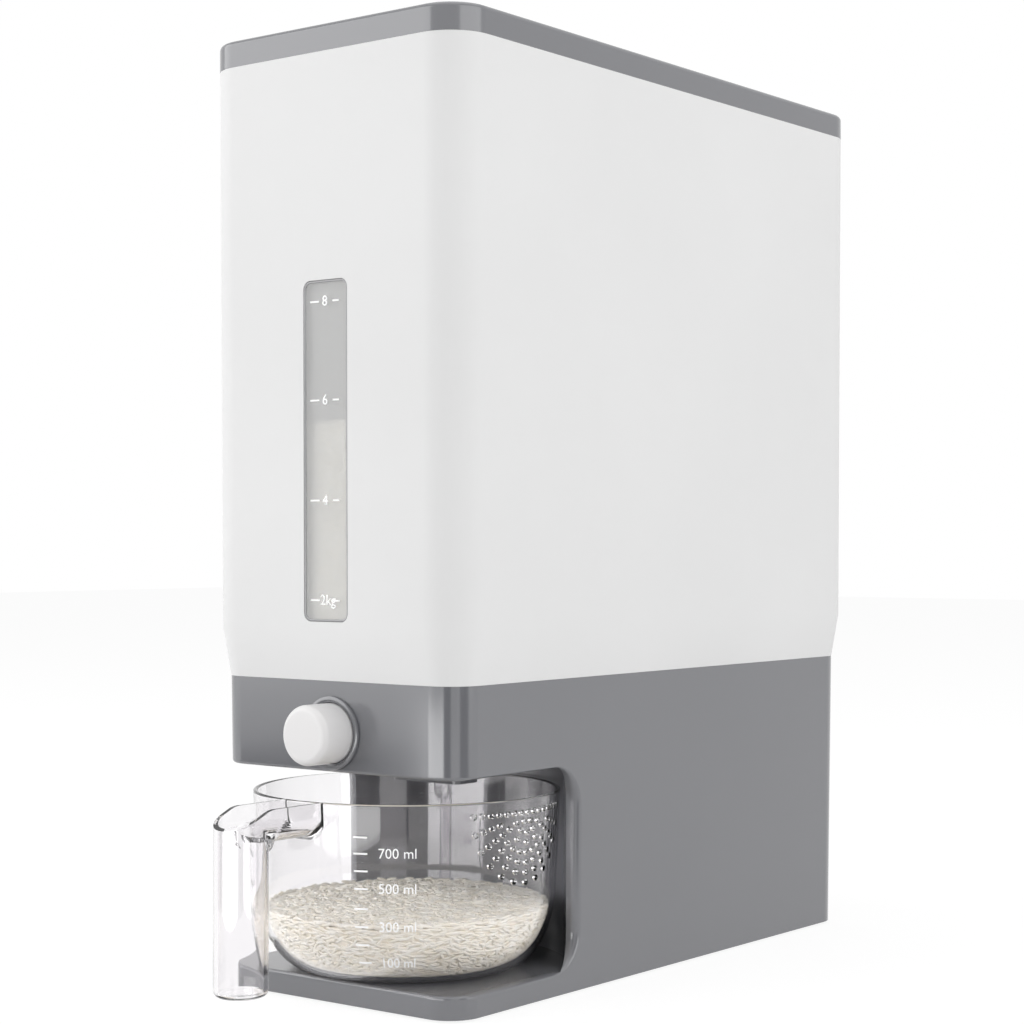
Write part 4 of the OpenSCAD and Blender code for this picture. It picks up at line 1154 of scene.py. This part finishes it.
def tick(bm, x0, x1, y, height):
    """Flat line of a scale."""
    corners = bmesh.ops.create_grid(bm, x_segments=6, y_segments=1, size=0.5)["verts"]
    bmesh.ops.scale(bm, vec=(x1 - x0, height, 1), verts=corners)
    bmesh.ops.translate(bm, vec=((x0 + x1) / 2, y, 0), verts=corners)


def as_print(name, bm, body, ink=PRINT):
    """Turn flat marks that already lie on their surface into a thin layer of ink."""
    bmesh.ops.remove_doubles(bm, verts=bm.verts, dist=1e-6)
    bmesh.ops.triangulate(bm, faces=bm.faces)
    piece = as_piece(name, bm, ink)
    layer = piece.modifiers.new("Layer", "SOLIDIFY")
    layer.thickness = PRINT_LAYER * MM
    layer.offset = 0
    settle(piece)
    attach(piece, body)


def wrap_on_bowl(bm):
    """Bend flat marks, drawn as (way round, height), round the outside of the bowl."""
    long_edges = [edge for edge in bm.edges if edge.calc_length() > 1.5 * MM]
    bmesh.ops.subdivide_edges(bm, edges=long_edges, cuts=2)
    for v in bm.verts:
        radius = bowl_radius(v.co.y) + PRINT_PROUD * MM
        angle = v.co.x / CUP_R
        v.co = Vector((radius * math.cos(angle), CUP_Y + radius * math.sin(angle), v.co.y))


def make_cup_scale():
    """Measure on the cup's front right, with a line each 100 ml and every other one named."""
    heights = {800: 77.2, 700: 70.2, 600: 62.7, 500: 55.1, 400: 46.5, 300: 38.7, 200: 30.7, 100: 22.5}
    bm = bmesh.new()
    left, right, text = [math.radians(a) * CUP_R for a in (-68.8, -63.7, -59.9)]
    for amount, z in heights.items():
        tick(bm, left, right, z * MM, 0.75 * MM)
        if amount % 200:
            lettering(bm, f"{amount} ml", 6.2 * MM, (text, z * MM))
    wrap_on_bowl(bm)
    as_print("Cup_scale", bm, "cup")


def make_cup_measure():
    """Second measure on the cup's left, in cups of rice."""
    bm = bmesh.new()
    start = math.radians(-128) * CUP_R
    for text, z in (("4 cups", 65), ("3 cups", 52), ("2 cups", 38.9), ("1 cup", 25.5)):
        lettering(bm, text, 5.2 * MM, (start, z * MM))
    wrap_on_bowl(bm)
    as_print("Cup_measure", bm, "cup", ink=GREY_PRINT)


def make_window_scale():
    """Weights beside the window's lines."""
    bm = bmesh.new()
    for text, z in (("8", 308.6), ("6", 265.2), ("4", 221.2), ("2kg", 177.4)):
        y = z * MM - WINDOW_Z
        tick(bm, -9.3 * MM, -4 * MM, y, 0.7 * MM)
        tick(bm, 4 * MM, 7.7 * MM, y, 0.7 * MM)
        lettering(bm, text, 6.5 * MM, (-2.2 * MM if len(text) == 1 else -3.6 * MM, y))
    bmesh.ops.translate(bm, vec=(0, 0, -0.55 * MM), verts=bm.verts)
    to_window(bm)
    as_print("Window_scale", bm, "housing")


# ---------- camera, stage and lamps ----------

def make_camera():
    """Camera low in front of the right-hand corner."""
    data = bpy.data.cameras.new("Camera")
    data.sensor_width = 36
    data.lens = 76.26
    camera = bpy.data.objects.new("Camera", data)
    camera.location = (0.64704, -0.83601, 0.20416)
    camera.rotation_euler = (math.radians(90.722), 0, math.radians(37.85))
    bpy.context.scene.collection.objects.link(camera)
    bpy.context.scene.camera = camera


def plain_finish(name):
    """Fresh material without a shader, with its tree and the kinds of ray."""
    material, tree, shader = new_finish(name)
    tree.nodes.remove(shader)
    return material, tree, add_node(tree, "LightPath").outputs


def make_floor():
    """Pale worktop: plain white to the eye, and an ordinary pale surface to the lamps."""
    bm = bmesh.new()
    bmesh.ops.create_grid(bm, x_segments=1, y_segments=1, size=6)
    material, tree, rays = plain_finish("Pale worktop")
    pale = add_node(tree, "BsdfDiffuse", Color=(0.72, 0.72, 0.72, 1))
    faint = add_node(tree, "BsdfDiffuse", Color=(0.16, 0.16, 0.16, 1))
    glow = add_node(tree, "Emission", Strength=0.88)
    seen = add_node(tree, "AddShader")
    tree.links.new(faint.outputs["BSDF"], seen.inputs[0])
    tree.links.new(glow.outputs["Emission"], seen.inputs[1])
    show_mix(tree, seen_directly(tree, rays), pale.outputs["BSDF"], seen.outputs["Shader"])
    as_piece("Worktop", bm, material)


def seen_directly(tree, rays):
    """1 for rays from the eye, also by way of a mirror or glass."""
    total = rays["Is Camera Ray"]
    for kind in ("Is Glossy Ray", "Is Transmission Ray"):
        total = one_of(tree, "MAXIMUM", total, rays[kind])
    return total


def one_of(tree, which, first, second):
    """The larger or the smaller of two values."""
    choice = add_node(tree, "Math")
    choice.operation = which
    tree.links.new(first, choice.inputs[0])
    tree.links.new(second, choice.inputs[1])
    return choice.outputs["Value"]


def make_world():
    """White all round to the eye, and a soft fill to the object."""
    world = bpy.data.worlds.new("Studio")
    bpy.context.scene.world = world
    world.use_nodes = True
    tree = world.node_tree
    rays = add_node(tree, "LightPath").outputs
    fill = tree.nodes["Background"]
    give(fill, Strength=0.54, Color=(1, 1, 1, 1))
    white = add_node(tree, "Background", Color=(1, 1, 1, 1))
    show_mix(tree, seen_directly(tree, rays), fill.outputs["Background"], white.outputs["Background"],
             output="World Output")


def softbox(name, place, size, power, target=(0, 0, 0.2)):
    """Large soft lamp that points at the object."""
    data = bpy.data.lights.new(name, "AREA")
    data.shape = "RECTANGLE"
    data.size, data.size_y = size
    data.energy = power
    lamp = bpy.data.objects.new(name, data)
    lamp.location = place
    aim = Vector(target) - Vector(place)
    lamp.rotation_euler = aim.to_track_quat("-Z", "Y").to_euler()
    bpy.context.scene.collection.objects.link(lamp)


def make_lamps():
    """Soft lamps on the left, on the right and above."""
    softbox("Key", (-1.5, -1.45, 0.80), (2.4, 2.0), 29)
    softbox("Side", (2.0, -0.1, 0.80), (2.2, 2.0), 20)
    softbox("Top", (0.0, 0.1, 2.2), (2.0, 2.0), 9)


def card(name, angle, distance, width, height, brightness):
    """Upright card round the bay that only shows as a reflection in the glossy parts."""
    bm = bmesh.new()
    bmesh.ops.create_grid(bm, x_segments=1, y_segments=1, size=0.5)
    turn = Matrix.Rotation(math.radians(angle + 90), 4, "Z") @ Matrix.Rotation(math.pi / 2, 4, "X")
    away = Vector((math.cos(math.radians(angle)), math.sin(math.radians(angle)), 0)) * distance
    place = Matrix.Translation(away + Vector((0, CUP_Y, height / 2 + 2 * MM)))
    shape = Matrix.Diagonal((width, height, 1, 1))
    bmesh.ops.transform(bm, matrix=place @ turn @ shape, verts=bm.verts)
    material, tree, rays = plain_finish(name)
    through = add_node(tree, "BsdfTransparent")
    glow = add_node(tree, "Emission", Color=(1, 1, 1, 1), Strength=brightness)
    mirrored = one_of(tree, "MINIMUM", rays["Is Glossy Ray"], rays["Glossy Depth"])
    show_mix(tree, mirrored, through.outputs["BSDF"], glow.outputs["Emission"])
    as_piece(name, bm, material)


def make_cards():
    """Bright and dark cards all round the front: angle, distance, width, height, brightness."""
    card("Front_card", -93, 0.34, 0.32, 0.10, 4.4)
    card("Dark_card_left", -130, 0.36, 0.145, 0.075, 0.03)
    card("Dark_card_camera", -58, 0.36, 0.117, 0.30, 0.03)
    card("Middle_card", -37, 0.37, 0.15, 0.085, 1.2)
    card("Dark_card_right", -13.4, 0.36, 0.153, 0.30, 0.03)


# ---------- finish of the pieces that stay as packed ----------

KEPT_FINISH = {
    "base_plate": GREY, "outlet_nozzle": GREY,
    "foot_front_left": RUBBER, "foot_front_right": RUBBER,
    "foot_rear_left": RUBBER, "foot_rear_right": RUBBER, "throat_seal": RUBBER,
    "lid_seal": SILICONE, "hopper_floor": INNER, "push_rod": INNER, "rod_guide": INNER,
    "gate_channel": INNER, "gate_cover": INNER, "gate_plate": GATE,
    "base_screws": ZINC, "hopper_screws": ZINC, "mechanism_screws": ZINC,
    "rod_clip": ZINC, "return_spring": ZINC,
}


def dress_kept_nodes():
    """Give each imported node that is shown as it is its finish."""
    for node, material in KEPT_FINISH.items():
        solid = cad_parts[node]
        if not solid.material_slots:
            solid.data.materials.append(material)
        for slot in solid.material_slots:
            slot.material = material


make_camera()
make_world()
make_floor()
make_lamps()
make_cards()
bpy.context.scene.view_settings.view_transform = "Standard"
dress_kept_nodes()
make_base()
make_hopper()
make_pane()
make_pane_edge()
make_lid()
make_ring()
make_cap()
make_spring()
make_cup()
make_cup_rice()
make_hopper_rice()
make_cup_scale()
make_cup_measure()
make_window_scale()
